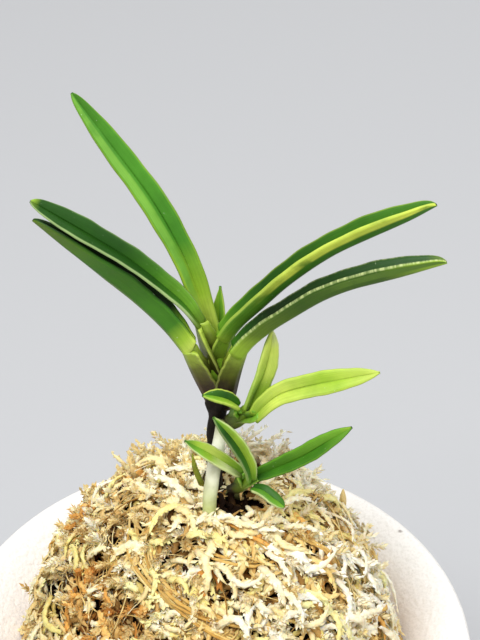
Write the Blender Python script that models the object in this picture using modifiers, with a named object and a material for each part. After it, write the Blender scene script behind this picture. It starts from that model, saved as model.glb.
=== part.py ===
"""Wind orchid with two offshoots, planted on a mound of sphagnum moss in a wide-rimmed white pot.

The part stands on the pot's foot ring: the origin is the centre of the foot, +Z is up, and the
fan of leaves spreads along X. Tables are in millimetres, and everything is built in metres.
"""

import math
import random

import bmesh
import bpy
import numpy as np
from mathutils import Vector

MM = 0.001
GAP = 0.3 * MM  # clearance between pieces that touch
UP = Vector((0, 0, 1))

# Pot, a turned shell with a flared rim
POT_HEIGHT = 100 * MM
RIM_RADIUS = 60 * MM
LIP_RADIUS = 1.6 * MM
THROAT_RADIUS = 43.5 * MM
THROAT_DEPTH = 9.5 * MM
WALL = 4 * MM
BELLY_RADIUS = 45 * MM
BELLY_HEIGHT = 62 * MM
FOOT_RADIUS = 35 * MM
FOOT_WIDTH = 4.5 * MM
FOOT_HEIGHT = 5 * MM
FLOOR_TOP = 10 * MM
DRAIN_RADIUS = 9 * MM
TURN_STEPS = 48

# Moss, a plug in the pot with a dome of strands over it
DOME_RADIUS = 40.5 * MM
DOME_HEIGHT = 48 * MM
DOME_POWER = 1.9
DOME_RINGS = 11
LUMP_DEPTH = 1.5 * MM
PIT_RADIUS = 10 * MM
PIT_DEPTH = 3.5 * MM
STRAND_COUNT = 140
STRAND_LENGTH = (7 * MM, 13 * MM)
STRAND_WIDTH = (1.0 * MM, 1.7 * MM)
STRAND_ROOT_DEPTH = 1.8 * MM
STRAND_SEED = 7

# Leaves
LEAF_THICKNESS = 1.3 * MM
MARGIN_SHARE = 0.65  # a margin's thickness as a share of the midrib's
LEAF_TIP_START = 0.68  # where along the blade its tip begins to round off
LEAF_FOOT_SHARE = 0.72  # a blade's width at its base as a share of its widest
TIP_HALF_WIDTH = 0.3 * MM

# Blades of the main fan, in mm: the midrib's points, the full width, how far each half folds up
# from flat at base and tip in degrees, the way the upper face looks at base and tip, and colour
DARK_GREEN = (0.075, 0.16, 0.03)
MID_GREEN = (0.17, 0.36, 0.05)
YOUNG_GREEN = (0.45, 0.62, 0.07)
FAN_BLADES = {
    "leaf_left_lower": dict(
        midrib=[(-4.3, 1.6, 189.2), (-8.8, 4, 194.5), (-14.9, 7, 199.5), (-21.9, 6.9, 207.1),
                (-28.8, 8.6, 212.9), (-35.4, 10.5, 218.3)],
        width=9.6, fold=(64, 77), faces=((0.72, 0.39, 0.7), (0, -0.225, 1.11)), colour=DARK_GREEN,
        foot=0.76, taper=0.4),
    "leaf_left_middle": dict(
        midrib=[(-1.9, 5.6, 193.5), (-5.2, 6, 199.2), (-9.5, 6.5, 204), (-16, 7, 210.4),
                (-24, 8, 216.1), (-29.7, 9, 219.7), (-35.6, 10, 223.6)],
        width=6, fold=(48, 26), faces=((0.65, -0.5, 0.55), (0.37, -0.5, 0.78)), colour=DARK_GREEN),
    "leaf_left_upper": dict(
        midrib=[(1, 9.4, 186.6), (-0.6, 9.8, 192.4), (-2.6, 10.8, 199.6), (-5.6, 12.4, 208.4),
                (-11.4, 14.6, 220.2), (-18.7, 17.6, 230.8), (-27, 21, 242.4)],
        width=6.6, fold=(50, 16), faces=((0.35, -0.9, 0.2), (0.3, -0.85, 0.4)), colour=MID_GREEN,
        taper=0.42),
    "leaf_centre": dict(
        midrib=[(2.6, 11.2, 184), (2.4, 11.5, 191), (2.5, 12, 198.6)],
        width=2.8, fold=(40, 30), faces=((-0.3, -0.9, 0.1), (-0.3, -0.9, 0.1)), colour=YOUNG_GREEN),
    "leaf_right_upper": dict(
        midrib=[(4, 5, 190), (6.7, 4.2, 195.3), (10.7, 3.4, 200.8), (16.7, 2.4, 208.7), (24.6, 1, 217.1),
                (32.6, -0.6, 223.6), (40, -1.8, 228.9), (45, -2, 232.5)],
        width=8.2, fold=(62, 60), faces=((-0.6, -0.02, 0.8), (-0.3, 0.12, 0.95)), colour=MID_GREEN,
        foot=0.9),
    "leaf_right_lower": dict(
        midrib=[(6.7, 2, 188), (9.1, 1.4, 192.5), (12.9, 0.8, 197.2), (17.1, 0, 201.5), (23, -1.2, 207.2),
                (28.6, -2.4, 211.3), (34.6, -3.4, 214.3), (41, -4, 217), (47.6, -4, 219.4)],
        width=7.8, fold=(62, 58), faces=((-0.6, 0.05, 0.8), (0, 0.25, 1)), colour=DARK_GREEN,
        foot=0.95),
}
OFFSHOOT_BLADES = {
    "upper_offshoot_leaf_left": dict(
        midrib=[(5.6, 0.4, 175.4), (3.8, -0.6, 178), (1.8, -1.3, 179.6), (-1.2, -2.2, 181.2)],
        width=4.4, fold=(50, 40), faces=((0.5, -0.4, 0.85), (0.1, -0.45, 0.9)), colour=MID_GREEN),
    "upper_offshoot_leaf_middle": dict(
        midrib=[(8.1, 1.3, 174.6), (9.5, 1.6, 178.6), (11.4, 2.2, 184), (12.6, 3, 189.2), (13.3, 4, 194)],
        width=4.8, fold=(50, 35), faces=((0.4, -0.9, 0), (0.3, -0.95, 0.2)), colour=YOUNG_GREEN),
    "upper_offshoot_leaf_right": dict(
        midrib=[(10.2, -1.2, 174.4), (12.4, -1.6, 178.2), (15.6, -1.6, 181.2), (21.2, -2, 183.7),
                (28.6, -2.6, 186.3), (35.5, -3, 188.5)],
        width=5.8, fold=(45, 18), faces=((-0.3, -0.7, 0.7), (0, -0.65, 0.75)), colour=YOUNG_GREEN),
    "lower_offshoot_leaf_left": dict(
        midrib=[(6.4, -2.6, 158.6), (3.4, -3.4, 162.2), (-1, -4.2, 166.8), (-5, -4.6, 170.2)],
        width=4.2, fold=(45, 25), faces=((0.4, -0.6, 0.6), (0.2, -0.6, 0.8)), colour=MID_GREEN),
    "lower_offshoot_leaf_upright": dict(
        midrib=[(8.6, -4, 158.6), (7.9, -4.8, 164), (5.3, -5.6, 171.2), (1.1, -6.2, 178.6)],
        width=4.6, fold=(52, 40), faces=((0.5, -0.85, 0.1), (0.4, -0.85, 0.35)), colour=YOUNG_GREEN),
    "lower_offshoot_leaf_right": dict(
        midrib=[(10.2, -2.6, 157.8), (14.2, -3, 160.4), (20.4, -4, 165.4), (25.5, -4.6, 170.4),
                (30, -5, 174.6)],
        width=5.2, fold=(48, 30), faces=((-0.4, -0.7, 0.6), (-0.3, -0.7, 0.65)), colour=DARK_GREEN),
    "lower_offshoot_leaf_front": dict(
        midrib=[(9.6, -5.9, 156.9), (11.6, -7.5, 157.7), (13.7, -9, 157.1), (16, -10.5, 156.2)],
        width=3.4, fold=(35, 20), faces=((0, -0.2, 1), (0, -0.3, 1)), colour=MID_GREEN),
}

# Stems and sheaths, in mm: the centre line, then the radius across and the radius deep at each
# point, where deep runs from keel to margin of the folded sheath
STEM_FOOT_Z = 141
MAIN_STEM = [
    dict(path=[(1.2, 6, STEM_FOOT_Z), (1.5, 6, 156), (1.8, 6, 166), (2, 6, 175), (1.8, 6.2, 181)],
         across=(1.9, 2, 2.3, 2.4, 1.5), deep=(1.9, 2, 2.4, 2.8, 1.6), face=(1, 0, 0)),
    dict(path=[(1.4, 5, 172), (-0.8, 4.2, 178.4), (-2.7, 2.6, 184.6), (-4.2, 1.4, 189)],
         across=(1.5, 1.6, 1.7, 1.5), deep=(1.9, 2.2, 2.4, 2.2), face=(0.8, -0.1, 0.6)),
    dict(path=[(1.6, 6, 173.5), (0.5, 5.8, 180.5), (-0.7, 5.6, 187), (-1.7, 5.6, 192.6)],
         across=(1.4, 1.5, 1.6, 1.3), deep=(1.8, 2.1, 2.2, 1.9), face=(0.9, -0.1, 0.3)),
    dict(path=[(2.2, 4.8, 172), (4, 4, 178.6), (5.6, 3.2, 183.2), (6.5, 2.2, 187.4)],
         across=(1.6, 1.8, 2, 1.8), deep=(1.9, 2.4, 2.8, 2.5), face=(-0.8, 0.1, 0.6)),
    dict(path=[(2, 6, 174.5), (2.4, 6, 180.5), (3, 5.6, 185.6), (3.8, 5.1, 189.6)],
         across=(1.4, 1.6, 1.7, 1.6), deep=(1.7, 2.1, 2.5, 2.2), face=(-0.9, 0.1, 0.4)),
    dict(path=[(1.7, 6.4, 178), (2, 7.8, 183), (2.6, 9.9, 186.6)],
         across=(1.5, 1.6, 1.5), deep=(1.5, 1.5, 1.3), face=(0, -1, 0)),
]
UPPER_OFFSHOOT = [
    dict(path=[(2.2, 5.2, 165), (4.6, 3, 168.6), (6.6, 1.2, 171.4), (7.7, 0.4, 175)],
         across=(1.3, 1.7, 2.3, 1.5), deep=(1.3, 1.6, 2, 1.2), face=(-0.7, 0, 0.7)),
]
LOWER_OFFSHOOT = [
    dict(path=[(2, 4.4, 148), (5, 0.6, 151.4), (7.8, -2.2, 154.6), (8.8, -3, 158)],
         across=(1.3, 1.7, 2.3, 1.5), deep=(1.3, 1.6, 2, 1.3), face=(-0.7, 0, 0.7)),
]
STEM_COLOUR = (0.06, 0.03, 0.015)
SHEATH_COLOUR = (0.16, 0.2, 0.04)

# Roots, in mm: centre line and radius at start and end
ROOT_COLOUR = (0.75, 0.75, 0.55)
ROOTS = {
    "aerial_root": dict(path=[(2.6, 2.4, 169.5), (2.1, 0.4, 165), (1.2, -1.2, 160.4), (0, -3.4, 155.6),
                              (-0.8, -5.2, 150), (-1.4, -6.4, 141), (-2, -7, 130)], radii=(1.1, 1.35)),
    "root_left": dict(path=[(-0.6, 5.6, 146.5), (-5, 5, 144), (-11, 4, 136), (-15, 3, 124), (-16, 2, 108)],
                      radii=(1.1, 1)),
    "root_back": dict(path=[(1.4, 8.2, 145.5), (2.6, 12, 142), (4, 17, 133), (5, 19, 120), (5, 18, 104)],
                      radii=(1.1, 1)),
    "root_right": dict(path=[(3.3, 6, 144.5), (8, 6.6, 141), (14, 7, 131), (17, 6, 118), (16, 4, 100)],
                       radii=(1.1, 1)),
    "root_centre": dict(path=[(1.2, 6, 140.6), (2, 4, 132), (0, 0, 120), (-2, -3, 104), (1, -4, 86)],
                        radii=(1.2, 1)),
}


def clear_scene():
    for old in list(bpy.data.objects):
        bpy.data.objects.remove(old)


def new_collection(name):
    made = bpy.data.collections.new(name)
    bpy.context.scene.collection.children.link(made)
    return made


def material(name, colour, roughness, metallic=0.0):
    made = bpy.data.materials.new(name)
    made.use_nodes = True
    shader = made.node_tree.nodes["Principled BSDF"]
    shader.inputs["Base Color"].default_value = (*colour, 1)
    shader.inputs["Roughness"].default_value = roughness
    shader.inputs["Metallic"].default_value = metallic
    return made


def add_mesh(name, bm, collection, finish=None, smooth_below=50):
    """Puts the bmesh's shape in a new object, with its normals pointing out."""
    bmesh.ops.recalc_face_normals(bm, faces=bm.faces)
    mesh = bpy.data.meshes.new(name)
    bm.to_mesh(mesh)
    bm.free()
    made = bpy.data.objects.new(name, mesh)
    collection.objects.link(made)
    if finish:
        mesh.materials.append(finish)
    mesh.shade_smooth()
    mesh.set_sharp_from_angle(angle=math.radians(smooth_below))
    return made


def apply_modifiers(made):
    """Keeps the object's evaluated mesh and drops its modifiers."""
    graph = bpy.context.evaluated_depsgraph_get()
    mesh = bpy.data.meshes.new_from_object(made.evaluated_get(graph))
    made.modifiers.clear()
    made.data = mesh


def boolean(made, operation, collection, solver="MANIFOLD"):
    """Joins to, or cuts from, the object everything in the collection, and removes what it used."""
    modifier = made.modifiers.new(operation.title(), "BOOLEAN")
    modifier.operation = operation
    modifier.operand_type = "COLLECTION"
    modifier.collection = collection
    modifier.solver = solver
    apply_modifiers(made)
    for used in list(collection.objects):
        bpy.data.objects.remove(used)
    bpy.data.collections.remove(collection)


def keep_largest_body(made):
    """Drops the loose scraps that a cut leaves."""
    bm = bmesh.new()
    bm.from_mesh(made.data)
    unseen = set(bm.verts)
    bodies = []
    while unseen:
        body = {unseen.pop()}
        edge_of_body = list(body)
        while edge_of_body:
            vert = edge_of_body.pop()
            for edge in vert.link_edges:
                other = edge.other_vert(vert)
                if other in unseen:
                    unseen.remove(other)
                    body.add(other)
                    edge_of_body.append(other)
        bodies.append(body)
    bodies.sort(key=len)
    scraps = [vert for body in bodies[:-1] for vert in body]
    bmesh.ops.delete(bm, geom=scraps, context="VERTS")
    bm.to_mesh(made.data)
    bm.free()


def smooth_path(points, count):
    """count points at even spacing on a smooth curve through the points."""
    given = [Vector(p) for p in points]
    ends = [given[0] * 2 - given[1], *given, given[-1] * 2 - given[-2]]
    fine = []
    steps = 12
    for i in range(len(given) - 1):
        a, b, c, d = ends[i : i + 4]
        for k in range(steps):
            t = k / steps
            fine.append(0.5 * (2 * b + (c - a) * t + (2 * a - 5 * b + 4 * c - d) * t * t
                               + (3 * b - a - 3 * c + d) * t * t * t))
    fine.append(given[-1])
    along = np.cumsum([0.0] + [(q - p).length for p, q in zip(fine, fine[1:])])
    wanted = np.linspace(0, along[-1], count)
    columns = [np.interp(wanted, along, [p[k] for p in fine]) for k in range(3)]
    return [Vector(row) for row in zip(*columns)]


def tangents(path):
    made = []
    for i in range(len(path)):
        before, after = path[max(i - 1, 0)], path[min(i + 1, len(path) - 1)]
        made.append((after - before).normalized())
    return made


def across(face, tangent):
    """The unit vectors of a section: one across the piece, and one along its face."""
    side = tangent.cross(Vector(face)).normalized()
    return side, side.cross(tangent).normalized()


def loft_tube(bm, path, widths, depths, face, sides=8):
    """A closed tube of oval sections: widths and depths are its radii at each path point."""
    rings = []
    for point, tangent, width, depth in zip(path, tangents(path), widths, depths):
        side, front = across(face, tangent)
        turns = [2 * math.pi * k / sides for k in range(sides)]
        rings.append([bm.verts.new(point + side * width * math.cos(a) + front * depth * math.sin(a))
                      for a in turns])
    for low, high in zip(rings, rings[1:]):
        for k in range(sides):
            following = (k + 1) % sides
            bm.faces.new((low[k], low[following], high[following], high[k]))
    bm.faces.new(rings[0][::-1])
    bm.faces.new(rings[-1])


def spread(values, count):
    """The values, given at even steps, read at count even steps."""
    return np.interp(np.linspace(0, 1, count), np.linspace(0, 1, len(values)), values)


def tube_object(name, spec, collection, grow=0.0, finish=None, sections=9, sides=10):
    """One stem or sheath of the tables above, grown by a clearance where it is a cutter."""
    path = [p * MM for p in smooth_path(spec["path"], sections)]
    if grow:
        run = tangents(path)
        path[0], path[-1] = path[0] - run[0] * grow, path[-1] + run[-1] * grow
    widths = spread(spec["across"], sections) * MM + grow
    depths = spread(spec["deep"], sections) * MM + grow
    bm = bmesh.new()
    loft_tube(bm, path, widths, depths, spec["face"], sides)
    return add_mesh(name, bm, collection, finish)


def root_object(name, spec, collection, grow=0.0, finish=None, sections=12, sides=8):
    radii = spread(spec["radii"], 2)
    tube = dict(path=spec["path"], across=radii, deep=radii, face=(0.9, -0.4, 0.1))
    return tube_object(name, tube, collection, grow, finish, sections, sides)


def joined_tubes(name, specs, collection, grow=0.0, finish=None):
    """Stem and sheaths clasp each other, so they are one body."""
    made = tube_object(name, specs[0], collection, grow, finish)
    if len(specs) > 1:
        others = new_collection(name + "_joined")
        for i, spec in enumerate(specs[1:]):
            tube_object(f"{name}_{i}", spec, others, grow)
        boolean(made, "UNION", others)
    return made


def cut_by(made, cutter_makers):
    """Cuts the object clear of the pieces that it grows from or stands in."""
    cutters = new_collection(made.name + "_cutters")
    for make in cutter_makers:
        make(cutters)
    boolean(made, "DIFFERENCE", cutters)
    keep_largest_body(made)


def blade_width(s, taper, foot):
    """A blade's width at s of its length, as a share of its widest; foot is its share at the base."""
    swell = foot + (1 - foot) * math.sin(min(s / 0.35, 1) * math.pi / 2)
    if s <= taper:
        return swell
    t = (s - taper) / (1 - taper)
    return swell * math.sqrt(max(1 - t ** 2.2, 0))


def blade(name, spec, collection, along, halves):
    """A folded strap of a leaf: a strip bent along its midrib, thinner at its margins."""
    path = [p * MM for p in smooth_path(spec["midrib"], along)]
    bm = bmesh.new()
    thick = bm.verts.layers.deform.verify()
    columns = 2 * halves + 1
    bmesh.ops.create_grid(bm, x_segments=columns - 1, y_segments=along - 1, size=1)
    ordered = sorted(bm.verts, key=lambda v: (round(v.co.y, 4), v.co.x))
    base_face, tip_face = (Vector(f) for f in spec["faces"])
    taper = spec.get("taper", LEAF_TIP_START)
    foot = spec.get("foot", LEAF_FOOT_SHARE)
    for row, (point, tangent) in enumerate(zip(path, tangents(path))):
        s = row / (along - 1)
        side, front = across(base_face.lerp(tip_face, s), tangent)
        fold = math.radians(spec["fold"][0] + (spec["fold"][1] - spec["fold"][0]) * s)
        half = max(spec["width"] * MM / 2 * blade_width(s, taper, foot), TIP_HALF_WIDTH)
        for column in range(columns):
            u = column / halves - 1
            vert = ordered[row * columns + column]
            vert.co = point + side * half * u * math.cos(fold) + front * half * abs(u) * math.sin(fold)
            tip_thinning = 1 - 0.35 * max(0, (s - LEAF_TIP_START) / (1 - LEAF_TIP_START))
            vert[thick][0] = (1 - (1 - MARGIN_SHARE) * abs(u)) * tip_thinning
    split_alike(bm)
    made = add_mesh(name, bm, collection, material(name, spec["colour"], 0.35), 70)
    made.vertex_groups.new(name="thickness")
    shell = made.modifiers.new("Solidify", "SOLIDIFY")
    shell.thickness = LEAF_THICKNESS
    shell.offset = 0
    shell.vertex_group = "thickness"
    apply_modifiers(made)
    return made


def split_alike(bm):
    """Splits the strip's quads into triangles before it gets its thickness, so both faces match."""
    bmesh.ops.triangulate(bm, faces=bm.faces, quad_method="FIXED")


def pot_profile():
    """The pot's section as one closed loop: down the outside, under the foot and up the inside."""
    lip = (RIM_RADIUS - LIP_RADIUS, POT_HEIGHT - LIP_RADIUS)
    points = []
    for degrees in (90, 60, 30, 0, -30, -60):
        a = math.radians(degrees)
        points.append((lip[0] + LIP_RADIUS * math.cos(a), lip[1] + LIP_RADIUS * math.sin(a)))
    neck = (THROAT_RADIUS + WALL * 0.55, POT_HEIGHT - THROAT_DEPTH - 2.2 * WALL)
    under = Vector((lip[0] - 1.5 * MM, lip[1] - 2.6 * MM))
    for t in (0.25, 0.6, 1):
        ease = t * t * (3 - 2 * t)
        points.append((under.x + (neck[0] - under.x) * t, under.y + (neck[1] - under.y) * ease))
    belly_turns = 7
    for k in range(1, belly_turns + 1):
        t = k / belly_turns
        z = neck[1] + (FOOT_HEIGHT - neck[1]) * t
        swell = math.sin(min(max((neck[1] - z) / (neck[1] - BELLY_HEIGHT), 0), 1) * math.pi / 2)
        drop = max((BELLY_HEIGHT - z) / (BELLY_HEIGHT - FOOT_HEIGHT), 0)
        radius = neck[0] + (BELLY_RADIUS + 1.5 * MM - neck[0]) * swell
        points.append((radius - (radius - FOOT_RADIUS - 1 * MM) * drop ** 2.2, z))
    inner_foot = FOOT_RADIUS - FOOT_WIDTH
    points += [(FOOT_RADIUS, FOOT_HEIGHT * 0.6), (FOOT_RADIUS - 0.6 * MM, 0), (inner_foot, 0),
               (inner_foot - 1 * MM, FOOT_HEIGHT), (DRAIN_RADIUS, FOOT_HEIGHT), (DRAIN_RADIUS, FLOOR_TOP)]
    points += inside_profile()
    rim_slope = 4
    throat = points[-1]
    for k in range(1, rim_slope):
        t = k / rim_slope
        points.append((throat[0] + (lip[0] - throat[0]) * t, rim_surface(throat[0] + (lip[0] - throat[0]) * t)))
    return points


def inside_profile(shrink=0.0):
    """The pot's inner wall from its floor up to the throat, moved in by shrink for what fills it."""
    floor_radius = FOOT_RADIUS - WALL
    low = (floor_radius - shrink, FLOOR_TOP + shrink)
    middle = (BELLY_RADIUS - WALL - 1.5 * MM - shrink, BELLY_HEIGHT * 0.62)
    high = (BELLY_RADIUS - WALL - shrink, BELLY_HEIGHT)
    corner = (floor_radius + 4 * MM - shrink, FLOOR_TOP + 8 * MM)
    throat = (THROAT_RADIUS - 1.2 * MM - shrink, POT_HEIGHT - THROAT_DEPTH - 1.5 * MM)
    return [low, corner, middle, high, throat]


def rim_surface(radius):
    """The height of the rim's upper face at a radius: a shallow dish that falls to the throat."""
    t = (radius - THROAT_RADIUS) / (RIM_RADIUS - LIP_RADIUS - THROAT_RADIUS)
    t = min(max(t, 0), 1)
    return POT_HEIGHT - THROAT_DEPTH * (1 - t) ** 1.35


def turned(name, profile, steps, collection, finish, closed):
    """A profile in the XZ plane turned round Z with a Screw modifier."""
    mesh = bpy.data.meshes.new(name)
    count = len(profile)
    edges = [(i, i + 1) for i in range(count - 1)] + ([(count - 1, 0)] if closed else [])
    mesh.from_pydata([(x, 0, z) for x, z in profile], edges, [])
    made = bpy.data.objects.new(name, mesh)
    collection.objects.link(made)
    screw = made.modifiers.new("Screw", "SCREW")
    screw.steps = screw.render_steps = steps
    screw.use_merge_vertices = True
    screw.merge_threshold = 0.01 * MM
    screw.use_smooth_shade = True
    mesh.materials.append(finish)
    apply_modifiers(made)
    bm = bmesh.new()
    bm.from_mesh(made.data)
    bmesh.ops.recalc_face_normals(bm, faces=bm.faces)
    bm.to_mesh(made.data)
    bm.free()
    return made


def build_pot(collection):
    finish = material("pot_ceramic", (0.86, 0.84, 0.8), 0.55)
    pot = turned("pot", pot_profile(), TURN_STEPS, collection, finish, closed=True)
    pot.data.set_sharp_from_angle(angle=math.radians(40))
    return pot


def dome_height(radius):
    """The moss core's height above the rim at a radius from the pot's axis."""
    t = min(radius / DOME_RADIUS, 1)
    return DOME_HEIGHT * (1 - t ** DOME_POWER) ** (1 / DOME_POWER)


def moss_profile():
    """Down the dome from its top, over the rim's foot and down inside the pot to its floor."""
    points = [(0, POT_HEIGHT + DOME_HEIGHT)]
    for k in range(1, DOME_RINGS + 1):
        radius = DOME_RADIUS * math.sin(math.pi / 2 * k / DOME_RINGS)
        points.append((radius, POT_HEIGHT + dome_height(radius)))
    bed = THROAT_RADIUS - 1.8 * MM
    points.append((DOME_RADIUS + 0.6 * MM, POT_HEIGHT - 0.5 * THROAT_DEPTH))
    points.append((bed - 0.4 * MM, POT_HEIGHT - THROAT_DEPTH))
    points += inside_profile(GAP)[::-1][1:]
    points.append((0, FLOOR_TOP + GAP))
    return points


def lump(position):
    """How far the moss's surface stands out at a place: three crossing waves."""
    x, y, z = (c / MM for c in position)
    waves = (math.sin(x * 0.42 + 1.3) * math.sin(y * 0.37 + 0.4)
             + 0.7 * math.sin(z * 0.45 + x * 0.2) + 0.5 * math.sin(y * 0.8 - z * 0.3 + 2))
    return LUMP_DEPTH * waves / 2.2


def pit(position):
    """How deep the moss dips round the foot of the plant."""
    away = math.hypot(position.x - 3 * MM, position.y - 2 * MM) / PIT_RADIUS
    return PIT_DEPTH * max(1 - away ** 2, 0)


def dome_normal(position):
    flat = Vector((position.x, position.y, 0)) / DOME_RADIUS ** 2
    return (flat + UP * max(position.z - POT_HEIGHT, 0) / DOME_HEIGHT ** 2).normalized()


def clear_of_rim(point, radius):
    """Lifts a strand's point off the pot's rim."""
    out = math.hypot(point.x, point.y)
    lowest = rim_surface(out + radius) + radius + 2 * GAP
    return Vector((point.x, point.y, max(point.z, lowest)))


def strand(bm, draw, turn, rise):
    """A blunt three-sided moss branch, rooted in the dome and bent along its surface."""
    radius = DOME_RADIUS * math.sqrt(max(1 - (1 - rise) ** 2, 0))
    top = Vector((radius * math.cos(turn), radius * math.sin(turn), 0))
    top.z = POT_HEIGHT + dome_height(radius)
    normal = dome_normal(top)
    swing = Vector((draw.gauss(0, 1), draw.gauss(0, 1), draw.gauss(0, 1)))
    run = (swing - normal * swing.dot(normal)).normalized()
    length = draw.uniform(*STRAND_LENGTH)
    width = draw.uniform(*STRAND_WIDTH)
    lift = draw.uniform(0.15, 0.6)
    curl = draw.uniform(-0.35, 0.35)
    bend = normal.cross(run)
    start = top - normal * (STRAND_ROOT_DEPTH + pit(top)) - run * 0.15 * length
    path = []
    for s in (0, 0.4, 0.75, 1):
        out = normal * (STRAND_ROOT_DEPTH * 1.6 * s + length * lift * s * s)
        point = start + run * length * s + out + bend * curl * length * s * s
        path.append(clear_of_rim(point, width))
    sizes = [width * 0.7, width * 0.8, width * 0.6, width * 0.2]
    loft_tube(bm, path, sizes, [size * 0.75 for size in sizes], normal, sides=3)


def build_moss(collection, stem_cutters):
    finish = material("moss", (0.72, 0.6, 0.33), 0.9)
    core = turned("moss", moss_profile(), TURN_STEPS, collection, finish, closed=False)
    for vert in core.data.vertices:
        if vert.co.z > POT_HEIGHT + 1 * MM:
            vert.co += dome_normal(vert.co) * lump(vert.co) - UP * pit(vert.co)
    draw = random.Random(STRAND_SEED)
    strands = new_collection("moss_strands")
    golden = math.pi * (3 - math.sqrt(5))
    for i in range(STRAND_COUNT):
        rise = (i + 0.5) / STRAND_COUNT * 0.94
        bm = bmesh.new()
        strand(bm, draw, i * golden + draw.uniform(-0.1, 0.1), rise)
        add_mesh(f"strand_{i}", bm, strands)
    boolean(core, "UNION", strands)
    cut_by(core, stem_cutters)
    return core


def build_plant(collection):
    """Stems first, because each leaf and root is cut clear of the stem that carries it."""
    stem_finish = material("stem", STEM_COLOUR, 0.6)
    sheath_finish = material("offshoot_stem", SHEATH_COLOUR, 0.5)

    def main_cutter(into):
        joined_tubes("main_stem_cutter", MAIN_STEM, into, GAP)

    def upper_cutter(into):
        joined_tubes("upper_cutter", UPPER_OFFSHOOT, into, GAP)

    def lower_cutter(into):
        joined_tubes("lower_cutter", LOWER_OFFSHOOT, into, GAP)

    joined_tubes("main_stem", MAIN_STEM, collection, finish=stem_finish)
    for name, specs in (("upper_offshoot_stem", UPPER_OFFSHOOT), ("lower_offshoot_stem", LOWER_OFFSHOOT)):
        made = joined_tubes(name, specs, collection, finish=sheath_finish)
        cut_by(made, [main_cutter])
    for name, spec in FAN_BLADES.items():
        made = blade(name, spec, collection, along=14, halves=3)
        cut_by(made, [main_cutter])
    for name, spec in OFFSHOOT_BLADES.items():
        made = blade(name, spec, collection, along=9, halves=2)
        cut_by(made, [upper_cutter if name.startswith("upper") else lower_cutter])
    root_finish = material("root", ROOT_COLOUR, 0.6)
    for name, spec in ROOTS.items():
        made = root_object(name, spec, collection, finish=root_finish)
        cut_by(made, [main_cutter, upper_cutter, lower_cutter])

    def root_cutters(into):
        for name, spec in ROOTS.items():
            root_object(name + "_cutter", spec, into, GAP)

    return [main_cutter, lower_cutter, root_cutters]


def main():
    clear_scene()
    parts = new_collection("wind_orchid")
    build_pot(parts)
    stem_cutters = build_plant(parts)
    build_moss(parts, stem_cutters)


main()
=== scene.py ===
"""Looks of the potted wind orchid: leaves, sheaths, roots, sphagnum and pot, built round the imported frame.

Tables are in millimetres and everything is made in metres, in the frame's own coordinates.
"""

import random
from math import cos, hypot, pi, radians, sin, sqrt

import bmesh
import bpy
import numpy as np
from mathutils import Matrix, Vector, noise


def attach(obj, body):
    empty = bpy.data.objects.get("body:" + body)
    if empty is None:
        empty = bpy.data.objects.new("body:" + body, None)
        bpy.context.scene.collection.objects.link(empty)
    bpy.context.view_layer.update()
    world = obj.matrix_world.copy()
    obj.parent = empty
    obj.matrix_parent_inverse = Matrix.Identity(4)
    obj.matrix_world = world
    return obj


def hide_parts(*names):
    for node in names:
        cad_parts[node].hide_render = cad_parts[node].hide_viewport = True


MM = 0.001
UP = Vector((0, 0, 1))
RIGHT = Vector((1, 0, 0))
GOLDEN_ANGLE = pi * (3 - sqrt(5))
WHITE = (1, 1, 1)

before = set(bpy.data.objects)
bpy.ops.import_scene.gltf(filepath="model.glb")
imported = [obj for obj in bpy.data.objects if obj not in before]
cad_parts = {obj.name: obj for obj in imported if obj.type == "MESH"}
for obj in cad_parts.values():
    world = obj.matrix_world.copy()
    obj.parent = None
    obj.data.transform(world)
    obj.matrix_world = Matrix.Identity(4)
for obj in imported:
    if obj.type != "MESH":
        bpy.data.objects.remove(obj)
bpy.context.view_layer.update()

# Pot, as in the part's source
POT_HEIGHT = 100 * MM
RIM_RADIUS = 60 * MM
LIP_RADIUS = 1.6 * MM
THROAT_RADIUS = 43.5 * MM
THROAT_DEPTH = 9.5 * MM
WALL = 4 * MM
BELLY_RADIUS = 45 * MM
BELLY_HEIGHT = 62 * MM
FOOT_RADIUS = 35 * MM
FOOT_WIDTH = 4.5 * MM
FOOT_HEIGHT = 5 * MM
FLOOR_TOP = 10 * MM
DRAIN_RADIUS = 9 * MM

# Moss dome, as in the part's source
DOME_RADIUS = 40.5 * MM
DOME_HEIGHT = 48 * MM
DOME_POWER = 1.9
PIT_CENTRE = Vector((3 * MM, 2 * MM, 0))
PIT_RADIUS = 10 * MM
PIT_DEPTH = 3.5 * MM
STRAND_ROOM = 1.8 * MM  # how far the bed lies inside the dome, so that the strands end on it

# Camera, floor and lights
CAMERA_PLACE = (0.0066, -0.3893, 0.5502)
CAMERA_DIP = 41.94  # degrees below level
CAMERA_LENS, SENSOR_WIDTH = 144, 36  # mm
FLOOR_REACH = 2.5
FLOOR_GREY = (0.5, 0.51, 0.53)
LAMP_TARGET = Vector((0, 0, 0.15))
LAMPS = {  # place, size and power
    "key_light": ((-0.22, -0.3, 1.0), 0.55, 9.5),
    "fill_light": ((0.8, -0.5, 0.6), 0.7, 3.2),
    "back_light": ((0.25, 0.7, 0.8), 0.5, 2.6),
}
SKY_COLOUR = (1, 0.985, 0.96, 1)
SKY_STRENGTH = 0.42


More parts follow.
